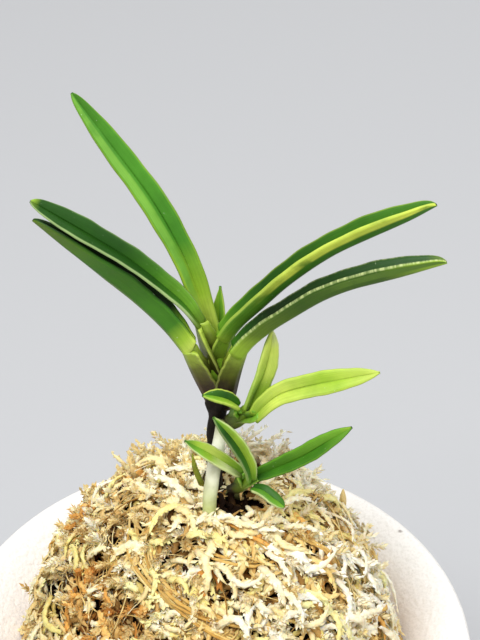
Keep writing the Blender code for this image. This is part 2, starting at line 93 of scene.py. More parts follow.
def set_stage():
    scene = bpy.context.scene
    camera = add_object("camera", bpy.data.cameras.new("camera"), CAMERA_PLACE)
    camera.data.lens = CAMERA_LENS
    camera.data.sensor_width = SENSOR_WIDTH
    camera.rotation_euler = (radians(90 - CAMERA_DIP), 0, 0)
    scene.camera = camera

    corners = [(x * FLOOR_REACH, y * FLOOR_REACH, 0) for x, y in ((-1, -1), (1, -1), (-1, 1), (1, 1))]
    floor = mesh_object("floor", corners, [(0, 1, 3, 2)])
    floor.data.materials.append(Graph("floor_paint").finish(FLOOR_GREY, 0.7))

    for name, (place, size, power) in LAMPS.items():
        lamp = add_object(name, bpy.data.lights.new(name, "AREA"), place)
        lamp.data.shape = "DISK"
        lamp.data.size = size
        lamp.data.energy = power
        lamp.rotation_euler = (Vector(place) - LAMP_TARGET).to_track_quat("Z", "Y").to_euler()
    world = bpy.data.worlds.new("studio")
    world.use_nodes = True
    sky = world.node_tree.nodes["Background"].inputs
    sky["Color"].default_value = SKY_COLOUR
    sky["Strength"].default_value = SKY_STRENGTH
    scene.world = world
    scene.view_settings.view_transform = "Standard"


# Small helpers
def add_object(name, data, place=(0, 0, 0)):
    made = bpy.data.objects.new(name, data)
    made.location = place
    bpy.context.scene.collection.objects.link(made)
    return made


def mesh_object(name, points, faces, values=None):
    """A smooth object from arrays, with a float attribute on its points for each entry of values."""
    mesh = bpy.data.meshes.new(name)
    mesh.from_pydata([tuple(p) for p in points], [], faces)
    for key, numbers in (values or {}).items():
        layer = mesh.attributes.new(key, "FLOAT", "POINT")
        layer.data.foreach_set("value", np.asarray(numbers, dtype=np.float32))
    mesh.shade_smooth()
    return add_object(name, mesh)


def outward(made):
    """Turns all the faces of a closed piece outwards."""
    bm = bmesh.new()
    bm.from_mesh(made.data)
    bmesh.ops.recalc_face_normals(bm, faces=bm.faces)
    bm.to_mesh(made.data)
    bm.free()
    return made


def ring_faces(rings, around, start=0, closed=False):
    """The faces between rings of points that follow one another, and back to the first if closed."""
    made = []
    for i in range(rings if closed else rings - 1):
        a, b = start + i * around, start + (i + 1) % rings * around
        for k in range(around):
            n = (k + 1) % around
            made.append((a + k, a + n, b + n, b + k))
    return made


def wear(made, stuff, slot, *nodes):
    """Gives the piece its material, lets it ride and stand for its CAD nodes; slot is not used."""
    made.data.materials.append(stuff)
    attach(made, "root")
    if nodes:
        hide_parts(*nodes)


def smooth_path(points, count):
    """count points at even spacing on a smooth curve through the points."""
    given = [Vector(p) for p in points]
    ends = [given[0] * 2 - given[1], *given, given[-1] * 2 - given[-2]]
    fine = []
    steps = 12
    for i in range(len(given) - 1):
        a, b, c, d = ends[i : i + 4]
        for k in range(steps):
            t = k / steps
            fine.append(0.5 * (2 * b + (c - a) * t + (2 * a - 5 * b + 4 * c - d) * t * t
                               + (3 * b - a - 3 * c + d) * t * t * t))
    fine.append(given[-1])
    along = np.cumsum([0.0] + [(q - p).length for p, q in zip(fine, fine[1:])])
    wanted = np.linspace(0, along[-1], count)
    columns = [np.interp(wanted, along, [p[k] for p in fine]) for k in range(3)]
    return [Vector(row) for row in zip(*columns)]


def tangents(path):
    last = len(path) - 1
    return [(path[min(i + 1, last)] - path[max(i - 1, 0)]).normalized() for i in range(last + 1)]


def across(face, tangent):
    side = tangent.cross(Vector(face)).normalized()
    return side, side.cross(tangent).normalized()


def spread(values, at):
    """Evenly spread values, read at a place or places from 0 to 1."""
    return np.interp(at, np.linspace(0, 1, len(values)), values)


def held(value):
    return min(max(value, 0), 1)


class Graph:
    """Short ways to build a material's nodes."""

    def __init__(self, name):
        self.stuff = bpy.data.materials.new(name)
        self.stuff.use_nodes = True
        self.nodes, self.links = self.stuff.node_tree.nodes, self.stuff.node_tree.links
        self.shader = self.nodes["Principled BSDF"]

    def put(self, target, value):
        """Links a node's output to the target, or gives the target a number, vector or colour."""
        if isinstance(value, bpy.types.NodeSocket):
            self.links.new(value, target)
        elif isinstance(value, (int, float)):
            target.default_value = value
        else:
            target.default_value = (*value, 1) if len(value) < len(target.default_value) else value

    def node(self, kind, inputs, **settings):
        made = self.nodes.new("ShaderNode" + kind)
        for key, value in settings.items():
            setattr(made, key, value)
        for key, value in inputs.items():
            self.put(made.inputs[key], value)
        return made

    def attribute(self, name):
        return self.node("Attribute", {}, attribute_name=name).outputs["Fac"]

    def math(self, operation, a, b=0.0):
        return self.node("Math", {0: a, 1: b}, operation=operation).outputs[0]

    def times(self, a, b):
        return self.math("MULTIPLY", a, b)

    def plus(self, a, b):
        return self.math("ADD", a, b)

    def ease(self, value, low, high):
        """0 where value is at low, 1 where it is at high, smooth between."""
        ends = {"Value": value, "From Min": low, "From Max": high}
        return self.node("MapRange", ends, interpolation_type="SMOOTHSTEP").outputs["Result"]

    def ramp(self, value, stops):
        made = self.node("ValToRGB", {"Fac": value})
        elements = made.color_ramp.elements
        while len(elements) < len(stops):
            elements.new(0.5)
        for element, (place, colour) in zip(elements, stops.items()):
            element.position = place
            element.color = (*colour, 1)
        return made.outputs["Color"]

    def mix(self, factor, a, b, blend="MIX"):
        """Mixes two colours, which are inputs 6 and 7 and output 2 of the node."""
        return self.node("Mix", {0: factor, 6: a, 7: b}, data_type="RGBA", blend_type=blend).outputs[2]

    def tint(self, factor, face, value, stops):
        """A colour multiplied by a ramp of the value."""
        return self.mix(factor, face, self.ramp(value, stops), "MULTIPLY")

    def noise(self, vector, scale, detail=3.0, roughness=0.5):
        inputs = {"Vector": vector, "Scale": scale, "Detail": detail, "Roughness": roughness}
        return self.node("TexNoise", inputs).outputs["Fac"]

    def place(self):
        """Where a point is on the object, in metres."""
        return self.node("TexCoord", {}).outputs["Object"]

    def combine(self, x, y, z):
        return self.node("CombineXYZ", {0: x, 1: y, 2: z}).outputs[0]

    def finish(self, colour, roughness, specular=0.5, bump=None, soft=()):
        """Sets the surface and gives back the material.

        bump is height, strength and distance, and soft is how much light goes in, how far it goes
        for red, green and blue, and the scale of that.
        """
        values = {"Base Color": colour, "Roughness": roughness, "Specular IOR Level": specular}
        values.update(zip(("Subsurface Weight", "Subsurface Radius", "Subsurface Scale"), soft))
        if bump:
            inputs = dict(zip(("Height", "Strength", "Distance"), bump))
            values["Normal"] = self.node("Bump", inputs).outputs[0]
        for name, value in values.items():
            self.put(self.shader.inputs[name], value)
        return self.stuff


# Leaves and sheaths
LEAF_THICKNESS = 1.3 * MM
SHEATH_THICKNESS = 0.9 * MM
OFFSHOOT_SHEATH_THICKNESS = 0.8 * MM
TIP_HALF_WIDTH = 0.3 * MM
VEIN_DEPTH = 0.15 * MM
PATH_POINTS = 240
CREASE = 0.1  # how round the fold is, as a share of the half width
BLADE_BOW, SHEATH_BOW = 0.05, 0.3  # how far the halves bow, likewise
MARGIN = 0.93  # the strap is thin past this share of the half width
FAN_GRID, OFFSHOOT_GRID = (64, 9), (40, 7)  # rows along a blade and columns on each half
POINTED = dict(taper=0.5, tip=0.72)  # most leaves of the offshoots


def half_width(name, spec, s):
    """Half the width of a strap at s, in metres, with a slight wobble."""
    if "widths" in spec:
        half = float(spread(spec["widths"], s)) * MM / 2
    else:
        shape = blade_width(s, spec.get("taper", 0.68), spec.get("foot", 0.72), spec.get("tip", 0.5))
        half = max(spec["width"] * MM / 2 * shape, TIP_HALF_WIDTH)
    return half * (1 + 0.02 * sin(s * 23 + len(name)) + 0.015 * sin(s * 51 + 2))


def blade_width(s, taper, foot, tip):
    """A blade's width at s as a share of its full width, from its foot's share to its rounded tip."""
    swell = foot + (1 - foot) * sin(min(s / 0.35, 1) * pi / 2)
    if s <= taper:
        return swell
    t = (s - taper) / (1 - taper)
    return swell * max(1 - t ** 2.2, 0) ** tip


def strap(name, spec, rows, halves):
    """A folded strap: a leaf's blade, or a sheath where spec gives widths.

    Its points carry leaf_u, from -1 at one margin to 1 at the other, leaf_s, from 0 at its foot to
    1 at its tip, and leaf_top, 1 on the upper face and 0 on the lower.
    """
    sheath = "widths" in spec
    path = smooth_path(spec["midrib"], PATH_POINTS)
    runs = tangents(path)
    foot_face, tip_face = (Vector(face) for face in spec["faces"])
    foot_fold, tip_fold = spec["fold"]
    columns = 2 * halves + 1
    ring = 2 * columns
    us = [column / halves - 1 for column in range(columns)]
    points, ss = [], []
    for row in range(rows):
        s = row / (rows - 1)
        if not sheath:
            s = 1 - (1 - s) ** 1.35  # rows lie closer together towards the tip
        at = s * (PATH_POINTS - 1)
        low = min(int(at), PATH_POINTS - 2)
        point = path[low].lerp(path[low + 1], at - low) * MM
        run = runs[low].lerp(runs[low + 1], at - low).normalized()
        side, front = across(foot_face.lerp(tip_face, s), run)
        fold = radians(foot_fold + (tip_fold - foot_fold) * s)
        half = half_width(name, spec, s)
        line = []
        for u in us:
            bow = (SHEATH_BOW if sheath else BLADE_BOW) * sin(pi * abs(u))
            rise = (sqrt(u * u + CREASE * CREASE) - CREASE) / (sqrt(1 + CREASE * CREASE) - CREASE)
            notch = run * spec.get("notch", 0) * MM * abs(u) ** 1.6 * max(0, 1 - s / 0.16)
            lift = half * (rise * sin(fold) + bow)
            line.append(point + side * (half * u * cos(fold)) + front * lift + notch)
        thinning = 1 if sheath else 1 - 0.45 * max(0, (s - 0.8) / 0.2)
        upper, lower = [], []
        for column, (p, u) in enumerate(zip(line, us)):
            normal = (line[min(column + 1, columns - 1)] - line[max(column - 1, 0)]).cross(run)
            normal = normal.normalized() if normal.length > 1e-9 else front
            if normal.dot(front) < 0:
                normal = -normal
            t = spec.get("thick", LEAF_THICKNESS) * thinning * (1 - 0.42 * abs(u) ** 1.6) / 2
            if abs(u) > MARGIN:
                t *= 0.55
            upper.append(p + normal * t)
            lower.append(p - normal * t)
        points += upper + lower[::-1]
        ss += [s] * ring
    faces = ring_faces(rows, ring)
    for start, turned in ((0, -1), ((rows - 1) * ring, 1)):
        for k in range(columns - 1):
            quad = (start + k, start + k + 1, start + ring - 2 - k, start + ring - 1 - k)
            faces.append(quad[::turned])
    values = dict(leaf_u=(us + us[::-1]) * rows, leaf_s=ss, leaf_top=([1] * columns + [0] * columns) * rows)
    return outward(mesh_object(name, points, faces, values))


def leaf_material(name, left, right, under, crease, margin, groove=0.5, edges=(0.6, 0.6), stripe=None,
                  highlight_dashes=0):
    """A leaf's skin: colours along each half and below, which on some leaves hold painted shade and
    painted highlights, crease, pale margin lines painted as highlights, and veins.

    edges says how strong each margin's pale line is, a painted highlight where the margin catches the
    light; stripe is a lighter band beside one margin, given as (side, from, to, start, colour), and
    dashes breaks the margins' highlight lines up.
    """
    g = Graph(name)
    u, s, top = g.attribute("leaf_u"), g.attribute("leaf_s"), g.attribute("leaf_top")
    size = g.math("ABSOLUTE", u)
    place = g.place()
    spots = g.noise(place, 420, 3)
    broad = g.noise(place, 110, 2)
    streaks = g.noise(g.combine(g.times(u, 15), g.times(s, 1.3), 0), 1.0, 4, 0.6)
    halves = g.mix(g.ease(u, -0.05, 0.05), g.ramp(s, left), g.ramp(s, right))
    face = g.mix(g.ease(top, 0.35, 0.65), g.ramp(s, under), halves)
    if stripe:
        side, start, end, foot, colour = stripe
        signed = g.times(u, side)
        band = g.times(g.ease(signed, start, start + 0.16), g.ease(signed, end + 0.1, end))
        band = g.times(band, g.ease(s, foot, foot + 0.22))
        band = g.times(band, g.ease(g.noise(place, 160, 3), 0.25, 0.5))
        face = g.mix(band, face, colour)
    # The crease colour runs along the fold; on leaf_left_middle it is a painted highlight.
    face = g.mix(g.times(g.ease(size, 0.12, 0.015), groove), face, crease)
    # Painted highlight: a pale line along each margin where it catches the light, with its own strength for
    # each margin and broken up where asked.
    edge = g.mix(g.ease(u, -0.1, 0.1), (edges[0],) * 3, (edges[1],) * 3)
    edge = g.times(edge, g.ease(size, 0.9, 0.985))
    edge = g.times(edge, g.ease(s, 0.0, 0.12))
    if highlight_dashes:
        broken = g.ease(g.noise(g.combine(0, g.times(s, 55), 0), 1.0, 4, 0.75), 0.46, 0.56)
        edge = g.times(edge, g.plus(1 - highlight_dashes, g.times(broken, highlight_dashes)))
    face = g.mix(edge, face, margin)
    shade = g.plus(g.times(streaks, 0.7), g.times(spots, 0.3))
    face = g.tint(0.6, face, shade, {0.3: (0.4, 0.48, 0.28), 0.68: WHITE})
    face = g.tint(0.45, face, broad, {0.35: (0.6, 0.68, 0.6), 0.65: (1, 1, 0.92)})
    specks = g.ease(g.noise(place, 1500, 2, 0.7), 0.72, 0.78)
    face = g.mix(g.times(specks, 0.5), face, (0.7, 0.8, 0.55))
    relief = g.plus(streaks, g.times(spots, 0.4))
    return g.finish(face, g.plus(0.4, g.times(spots, 0.22)), 0.25, (relief, 0.4, VEIN_DEPTH),
                    (0.04, (0.4, 0.8, 0.15), 1 * MM))


# Colours of the leaves
DEEP = (0.008, 0.026, 0.003)
DARK = (0.016, 0.085, 0.004)
GREEN = (0.055, 0.2, 0.01)
FRESH = (0.085, 0.31, 0.025)
BRIGHT = (0.19, 0.43, 0.03)
LIME = (0.38, 0.58, 0.045)
YELLOW = (0.67, 0.79, 0.14)
PALE = (0.8, 0.86, 0.42)
OLIVE = (0.15, 0.25, 0.018)
MURKY = (0.05, 0.13, 0.004)

# Leaves: the midrib from its foot to its tip, full width, fold of each half in degrees and the way the
# upper face looks, both at foot and tip, and the skin's colours
BLADES = {
    "leaf_left_lower": dict(
        midrib=[(-4.3, 1.6, 189.2), (-8.8, 4, 194.5), (-14.9, 7, 199.5), (-21.9, 6.9, 207.1),
                (-28.8, 8.6, 212.9), (-35.4, 10.5, 218.3)],
        width=9.6, fold=(64, 77), faces=((0.72, 0.39, 0.7), (0, -0.225, 1.11)), notch=1.6, foot=0.76,
        taper=0.4,
        skin=dict(
            left={0: LIME, 0.1: GREEN, 0.3: DARK, 1: DARK},
            # Painted shadow: past its lit yellow-green foot, the far half's upper face is near black, in the
            # shade of the leaf above it.
            right={0: YELLOW, 0.08: LIME, 0.14: BRIGHT, 0.22: DEEP, 1: DEEP},
            under={0: YELLOW, 0.07: LIME, 0.16: GREEN, 0.6: GREEN, 1: OLIVE}, crease=LIME, margin=DARK,
            groove=0.35, edges=(0.6, 0.4))),
    "leaf_left_middle": dict(
        midrib=[(-1.9, 5.6, 193.5), (-5.2, 6, 199.2), (-9.5, 6.5, 204), (-16, 7, 210.4), (-24, 8, 216.1),
                (-29.7, 9, 219.7), (-35.6, 10, 223.6)],
        width=6, fold=(48, 26), faces=((0.65, -0.5, 0.55), (0.37, -0.5, 0.78)), notch=1,
        skin=dict(
            left={0: OLIVE, 0.15: GREEN, 0.35: DARK, 0.95: DARK, 1: OLIVE},
            right={0: OLIVE, 0.12: BRIGHT, 0.35: GREEN, 0.55: DARK, 0.96: DARK, 1: LIME},
            # Painted highlights: the light crease and the strong pale line along the near margin.
            under={0: OLIVE, 1: DARK}, crease=BRIGHT, margin=(0.5, 0.66, 0.28), groove=0.4,
            edges=(0.75, 0.3))),
    "leaf_left_upper": dict(
        midrib=[(1, 9.4, 186.6), (-0.6, 9.8, 192.4), (-2.6, 10.8, 199.6), (-5.6, 12.4, 208.4),
                (-11.4, 14.6, 220.2), (-18.7, 17.6, 230.8), (-27, 21, 242.4)],
        width=6.6, fold=(50, 16), faces=((0.35, -0.9, 0.2), (0.3, -0.85, 0.4)), taper=0.42,
        skin=dict(
            left={0: LIME, 0.1: YELLOW, 0.22: LIME, 0.42: FRESH, 1: FRESH},
            right={0: LIME, 0.1: YELLOW, 0.2: LIME, 0.4: FRESH, 0.8: FRESH, 1: GREEN},
            under={0: LIME, 1: GREEN}, crease=DARK, margin=LIME, groove=0.9, edges=(0.6, 0.5),
            stripe=(-1, 0.3, 0.85, 0.1, (0.22, 0.5, 0.06)))),
    "leaf_centre": dict(
        midrib=[(2.6, 11.2, 184), (2.4, 11.5, 191), (2.5, 12, 199)],
        width=4.2, fold=(40, 30), faces=((-0.3, -0.9, 0.1), (-0.3, -0.9, 0.1)), thick=SHEATH_THICKNESS,
        foot=1, taper=0.15, tip=0.9,
        skin=dict(
            left={0: YELLOW, 0.4: LIME, 1: BRIGHT}, right={0: LIME, 0.5: BRIGHT, 1: BRIGHT},
            under={0: LIME, 1: GREEN}, crease=GREEN, margin=YELLOW)),
    "leaf_right_upper": dict(
        midrib=[(4, 5, 190), (6.7, 4.2, 195.3), (10.7, 3.4, 200.8), (16.7, 2.4, 208.7), (24.6, 1, 217.1),
                (32.6, -0.6, 223.6), (40, -1.8, 228.9), (45, -2, 232.5)],
        width=8.2, fold=(62, 60), faces=((-0.6, -0.02, 0.8), (-0.3, 0.12, 0.95)), notch=1.8, foot=0.9,
        skin=dict(
            left={0: BRIGHT, 0.15: GREEN, 0.3: DARK, 0.8: GREEN, 1: GREEN},
            right={0: BRIGHT, 0.2: GREEN, 1: GREEN}, under={0: LIME, 0.08: BRIGHT, 0.3: GREEN, 1: GREEN},
            crease=GREEN, margin=YELLOW, groove=0.1, edges=(0.3, 0.6),
            # Painted highlight: the bright yellow band beside one margin.
            stripe=(1, 0.42, 0.98, 0.2, (0.76, 0.86, 0.1)))),
    "leaf_right_lower": dict(
        midrib=[(6.7, 2, 188), (9.1, 1.4, 192.5), (12.9, 0.8, 197.2), (17.1, 0, 201.5), (23, -1.2, 207.2),
                (28.6, -2.4, 211.3), (34.6, -3.4, 214.3), (41, -4, 217), (47.6, -4, 219.4)],
        width=7.8, fold=(62, 58), faces=((-0.6, 0.05, 0.8), (0, 0.25, 1)), notch=1.8, foot=0.95,
        skin=dict(
            left={0: GREEN, 0.12: DARK, 0.25: DEEP, 0.93: DARK, 1: OLIVE},
            right={0: GREEN, 0.2: DEEP, 0.93: DARK, 1: OLIVE},
            under={0: LIME, 0.07: LIME, 0.16: OLIVE, 0.4: MURKY, 0.75: MURKY, 1: LIME}, crease=GREEN,
            # Painted highlight: the pale line along the near margin, broken up along its length.
            margin=PALE, groove=0.1, edges=(0.3, 0.65), highlight_dashes=0.7,
            stripe=(1, 0.3, 0.8, 0.45, (0.12, 0.24, 0.02)))),
    "upper_offshoot_leaf_left": dict(
        midrib=[(5.6, 0.4, 175.4), (3.8, -0.6, 178), (1.8, -1.3, 179.6), (-1.2, -2.2, 181.2)],
        width=4.4, fold=(50, 40), faces=((0.5, -0.4, 0.85), (0.1, -0.45, 0.9)), **POINTED,
        skin=dict(
            left={0: YELLOW, 0.3: LIME, 1: BRIGHT}, right={0: GREEN, 0.5: DARK, 1: GREEN},
            under={0: LIME, 1: GREEN}, crease=LIME, margin=YELLOW, edges=(0.6, 0.9))),
    "upper_offshoot_leaf_middle": dict(
        midrib=[(8.1, 1.3, 174.6), (9.5, 1.6, 178.6), (11.4, 2.2, 184), (12.6, 3, 189.2), (13.3, 4, 194)],
        width=5.4, fold=(42, 28), faces=((0.4, -0.9, 0), (0.3, -0.95, 0.2)), **POINTED,
        skin=dict(
            left={0: LIME, 0.3: (0.36, 0.58, 0.05), 0.8: YELLOW, 1: YELLOW},
            right={0: LIME, 0.3: LIME, 0.5: YELLOW, 0.8: YELLOW, 1: PALE}, under={0: LIME, 1: LIME},
            crease=BRIGHT, margin=PALE, groove=0.6, edges=(0.2, 0.9))),
    "upper_offshoot_leaf_right": dict(
        midrib=[(10.2, -1.2, 174.4), (12.4, -1.6, 178.2), (15.6, -1.6, 181.2), (21.2, -2, 183.7),
                (28.6, -2.6, 186.3), (35.5, -3, 188.5)],
        width=5.8, fold=(45, 18), faces=((-0.3, -0.7, 0.7), (0, -0.65, 0.75)), **POINTED,
        skin=dict(
            left={0: LIME, 0.3: YELLOW, 0.6: LIME, 1: YELLOW},
            right={0: LIME, 0.2: YELLOW, 0.7: LIME, 1: YELLOW}, under={0: BRIGHT, 1: LIME}, crease=GREEN,
            margin=YELLOW, groove=0.6, edges=(0.5, 0.6))),
    "lower_offshoot_leaf_left": dict(
        midrib=[(6.4, -2.6, 158.6), (3.4, -3.4, 162.2), (-1, -4.2, 166.8), (-5, -4.6, 170.2)],
        width=4.2, fold=(45, 25), faces=((0.4, -0.6, 0.6), (0.2, -0.6, 0.8)), **POINTED,
        skin=dict(
            left={0: OLIVE, 0.3: PALE, 0.6: LIME, 0.8: BRIGHT, 1: GREEN},
            right={0: BRIGHT, 0.3: LIME, 0.6: YELLOW, 0.85: LIME, 1: GREEN}, under={0: BRIGHT, 1: GREEN},
            crease=OLIVE, margin=PALE, groove=0.4, edges=(0.9, 0.7))),
    "lower_offshoot_leaf_upright": dict(
        midrib=[(8.6, -4, 158.6), (7.9, -4.8, 164), (5.3, -5.6, 171.2), (1.1, -6.2, 178.6)],
        width=4.6, fold=(52, 40), faces=((0.5, -0.85, 0.1), (0.4, -0.85, 0.35)), **POINTED,
        skin=dict(
            left={0: BRIGHT, 0.15: GREEN, 0.8: DARK, 1: GREEN},
            right={0: BRIGHT, 0.25: LIME, 0.7: LIME, 1: BRIGHT}, under={0: BRIGHT, 1: GREEN},
            crease=YELLOW, margin=PALE, edges=(0.3, 0.7))),
    "lower_offshoot_leaf_right": dict(
        midrib=[(10.2, -2.6, 157.8), (14.2, -3, 160.4), (20.4, -4, 165.4), (25.5, -4.6, 170.4),
                (30, -5, 174.6)],
        width=5.2, fold=(48, 30), faces=((-0.4, -0.7, 0.6), (-0.3, -0.7, 0.65)), **POINTED,
        skin=dict(
            left={0: GREEN, 0.4: (0.1, 0.27, 0.015), 0.9: BRIGHT, 1: LIME},
            right={0: DARK, 0.2: GREEN, 0.7: GREEN, 1: BRIGHT}, under={0: GREEN, 1: DARK}, crease=DARK,
            margin=BRIGHT, edges=(0.4, 0.5))),
    "lower_offshoot_leaf_front": dict(
        midrib=[(9.6, -5.9, 156.9), (11.6, -7.5, 157.7), (13.7, -9, 157.1), (16, -10.5, 156.2)],
        width=3.4, fold=(35, 20), faces=((0, -0.2, 1), (0, -0.3, 1)), taper=0.5,
        skin=dict(
            left={0: DARK, 1: GREEN}, right={0: GREEN, 1: BRIGHT}, under={0: DARK, 1: DARK}, crease=DARK,
            margin=PALE, groove=0.3, edges=(0.2, 0.8))),
}

# Sheaths of the fan: the folded foot of each leaf, from the stem up to the leaf's joint
SHEATHS = {
    "sheath_left_lower": dict(
        midrib=[(0.4, 5.5, 170), (-1.1, 4.8, 175), (-2.6, 3.7, 180.2), (-3.9, 2.5, 185.4),
                (-5, 1.4, 190.2)],
        widths=(6.4, 7.6, 8, 7.2, 5.8), fold=(80, 60), faces=((1, 0, 0.25), (0.6, -0.1, 0.8))),
    "sheath_left_middle": dict(
        midrib=[(1, 6, 171), (0.4, 6, 176), (-0.6, 5.9, 181.5), (-1.6, 5.7, 188), (-2.6, 5.6, 194.6)],
        widths=(6, 8.4, 9.6, 8.4, 5), fold=(78, 48), faces=((1, -0.2, 0.15), (0.65, -0.5, 0.55))),
    "sheath_left_upper": dict(
        midrib=[(1.7, 7.4, 171), (1.4, 8, 178), (1.1, 8.9, 183), (0.8, 9.5, 188)],
        widths=(4, 5.6, 6, 5.4), fold=(45, 45), faces=((0.35, -0.9, 0), (0.35, -0.9, 0.2))),
    "sheath_right_upper": dict(
        midrib=[(2.4, 6, 171), (3.1, 5.8, 177), (3.7, 5.5, 183), (4.4, 5.1, 188.4), (5.2, 4.7, 191.8)],
        widths=(6, 7.6, 8.4, 8, 6.4), fold=(76, 62), faces=((-1, 0.1, 0.2), (-0.6, -0.02, 0.8))),
    "sheath_right_lower": dict(
        midrib=[(4.3, 5.2, 170), (5.3, 4.4, 175), (6, 3.4, 180), (6.8, 2.5, 185), (7.7, 1.7, 189.6)],
        widths=(6.6, 8.2, 8.8, 8, 6.4), fold=(80, 62), faces=((-1, 0, 0.25), (-0.6, 0.05, 0.8))),
}
SHEATHS_OF_OFFSHOOTS = {
    "upper_offshoot_sheath_left": dict(
        midrib=[(4.6, 3, 167.6), (4.4, 1.8, 171), (4.8, 1, 173.6), (5.8, 0.3, 175.6)],
        widths=(3.6, 4.4, 4.4, 3.4), fold=(75, 52), faces=((1, -0.2, 0.4), (0.5, -0.4, 0.85))),
    "upper_offshoot_sheath_right": dict(
        midrib=[(6.4, 2.4, 168), (8.6, 0.6, 171.4), (10, -0.6, 173.6), (11, -1.3, 176)],
        widths=(4, 5, 5, 4), fold=(75, 48), faces=((-0.8, -0.1, 0.6), (-0.3, -0.7, 0.7))),
    "lower_offshoot_sheath_left": dict(
        midrib=[(5, 0.4, 151.4), (5.6, -1.4, 154.6), (6, -2.3, 157), (6, -2.7, 159)],
        widths=(3.4, 4.2, 4.2, 3.2), fold=(75, 48), faces=((0.9, -0.3, 0.4), (0.4, -0.6, 0.6))),
    "lower_offshoot_sheath_right": dict(
        midrib=[(6.6, -0.4, 151.6), (8.8, -1.8, 154.4), (10, -2.4, 156.6), (11, -2.7, 158.4)],
        widths=(3.8, 4.8, 4.8, 3.8), fold=(75, 50), faces=((-0.8, -0.2, 0.5), (-0.4, -0.7, 0.6))),
}


def sheath_material(name, top, middle, foot, dark_from):
    """Olive at the leaf's joint, darkening to red-brown where it clasps the stem."""
    g = Graph(name)
    u, s = g.attribute("leaf_u"), g.attribute("leaf_s")
    blotch = g.noise(g.place(), 260, 4, 0.6)
    reach = g.plus(s, g.times(g.math("SUBTRACT", blotch, 0.5), 0.35))
    face = g.ramp(reach, {0: foot, dark_from * 0.6: foot, dark_from: middle, 0.93: top, 1: top})
    edge = g.times(g.ease(g.math("ABSOLUTE", u), 0.8, 1.0), 0.45)
    face = g.mix(edge, face, g.ramp(reach, {0: middle, 1: YELLOW}))
    streaks = g.noise(g.combine(g.times(u, 14), g.times(s, 1.2), 3), 1.0, 4, 0.6)
    face = g.tint(0.45, face, streaks, {0.3: (0.5, 0.55, 0.4), 0.65: WHITE})
    specks = g.ease(g.noise(g.place(), 1300, 3, 0.65), 0.55, 0.68)
    face = g.mix(g.times(specks, 0.4), face, (0.09, 0.08, 0.01))
    return g.finish(face, 0.45, 0.4, (streaks, 0.4, VEIN_DEPTH))


def build_leaves():
    for name, spec in BLADES.items():
        made = strap(name + "_blade", spec, *(OFFSHOOT_GRID if "offshoot" in name else FAN_GRID))
        wear(made, leaf_material(name + "_skin", **spec["skin"]), name, name)


# Old stem and the offshoots' feet: points and half-widths
STEM_POINTS = [(0.9, 6, 141), (0.9, 6, 150), (1.1, 6, 157), (1.4, 6, 163), (1.7, 6, 170), (2.2, 6.2, 177),
               (2.2, 7.4, 187)]
STEM_SIZES = [2.0, 1.9, 1.85, 1.85, 2.3, 3.0, 2.2]
BULB_SIZES = (1.3, 1.9, 1.8, 1)
BULBS = {  # size as a share of those, then points
    "upper_offshoot": (1, [(3.4, 3.4, 167.4), (5.4, 2.2, 169.8), (7, 1.4, 172), (7.9, 0.9, 174.4)]),
    "lower_offshoot": (0.72, [(4.4, -0.2, 151.2), (6.4, -1.8, 153.6), (7.8, -2.8, 155.6),
                              (8.6, -3.2, 157.8)]),
}


def stem_material():
    g = Graph("old_stem_skin")
    grain = g.noise(g.place(), 500, 5, 0.65)
    bark = g.ramp(grain, {0.35: (0.004, 0.003, 0.002), 0.6: (0.014, 0.009, 0.006), 0.75: (0.06, 0.04, 0.02)})
    fresh_from = g.ease(g.attribute("leaf_s"), 0.8, 0.9)
    return g.finish(g.mix(fresh_from, bark, (0.22, 0.42, 0.02)), 0.8, 0.2, (grain, 0.7, 0.4 * MM))


def build_stems():
    core = ragged_tube("old_stem", STEM_POINTS, STEM_SIZES, 70, 18, 0.3)
    wear(core, stem_material(), "stem", "main_stem")
    dull, brown = (0.13, 0.16, 0.014), (0.022, 0.006, 0.005)
    for name, spec in SHEATHS.items():
        made = strap(name, dict(spec, thick=SHEATH_THICKNESS), 40, 9)
        fresh, start = ((0.24, 0.44, 0.025), 0.45) if "upper" in name else ((0.36, 0.5, 0.05), 0.72)
        wear(made, sheath_material(name + "_skin", fresh, dull, brown, start), "stem")
    for name, (size, points) in BULBS.items():
        made = ragged_tube(name + "_bulb", points, [half * size for half in BULB_SIZES], 30, 16, 0.12, 5)
        # The bulbs' near-black foot is partly their own colour and partly painted shade under the crowded
        # leaf bases.
        skin = sheath_material(name + "_bulb_skin", (0.16, 0.28, 0.015), (0.06, 0.08, 0.008),
                               (0.012, 0.007, 0.004), 0.4)
        wear(made, skin, "offshoot_stem")
    for name, spec in SHEATHS_OF_OFFSHOOTS.items():
        made = strap(name, dict(spec, thick=OFFSHOOT_SHEATH_THICKNESS), 28, 7)
        skin = sheath_material(name + "_skin", BRIGHT, (0.08, 0.12, 0.015), (0.012, 0.01, 0.004), 0.4)
        wear(made, skin, "offshoot_stem", name.split("_sheath")[0] + "_stem")


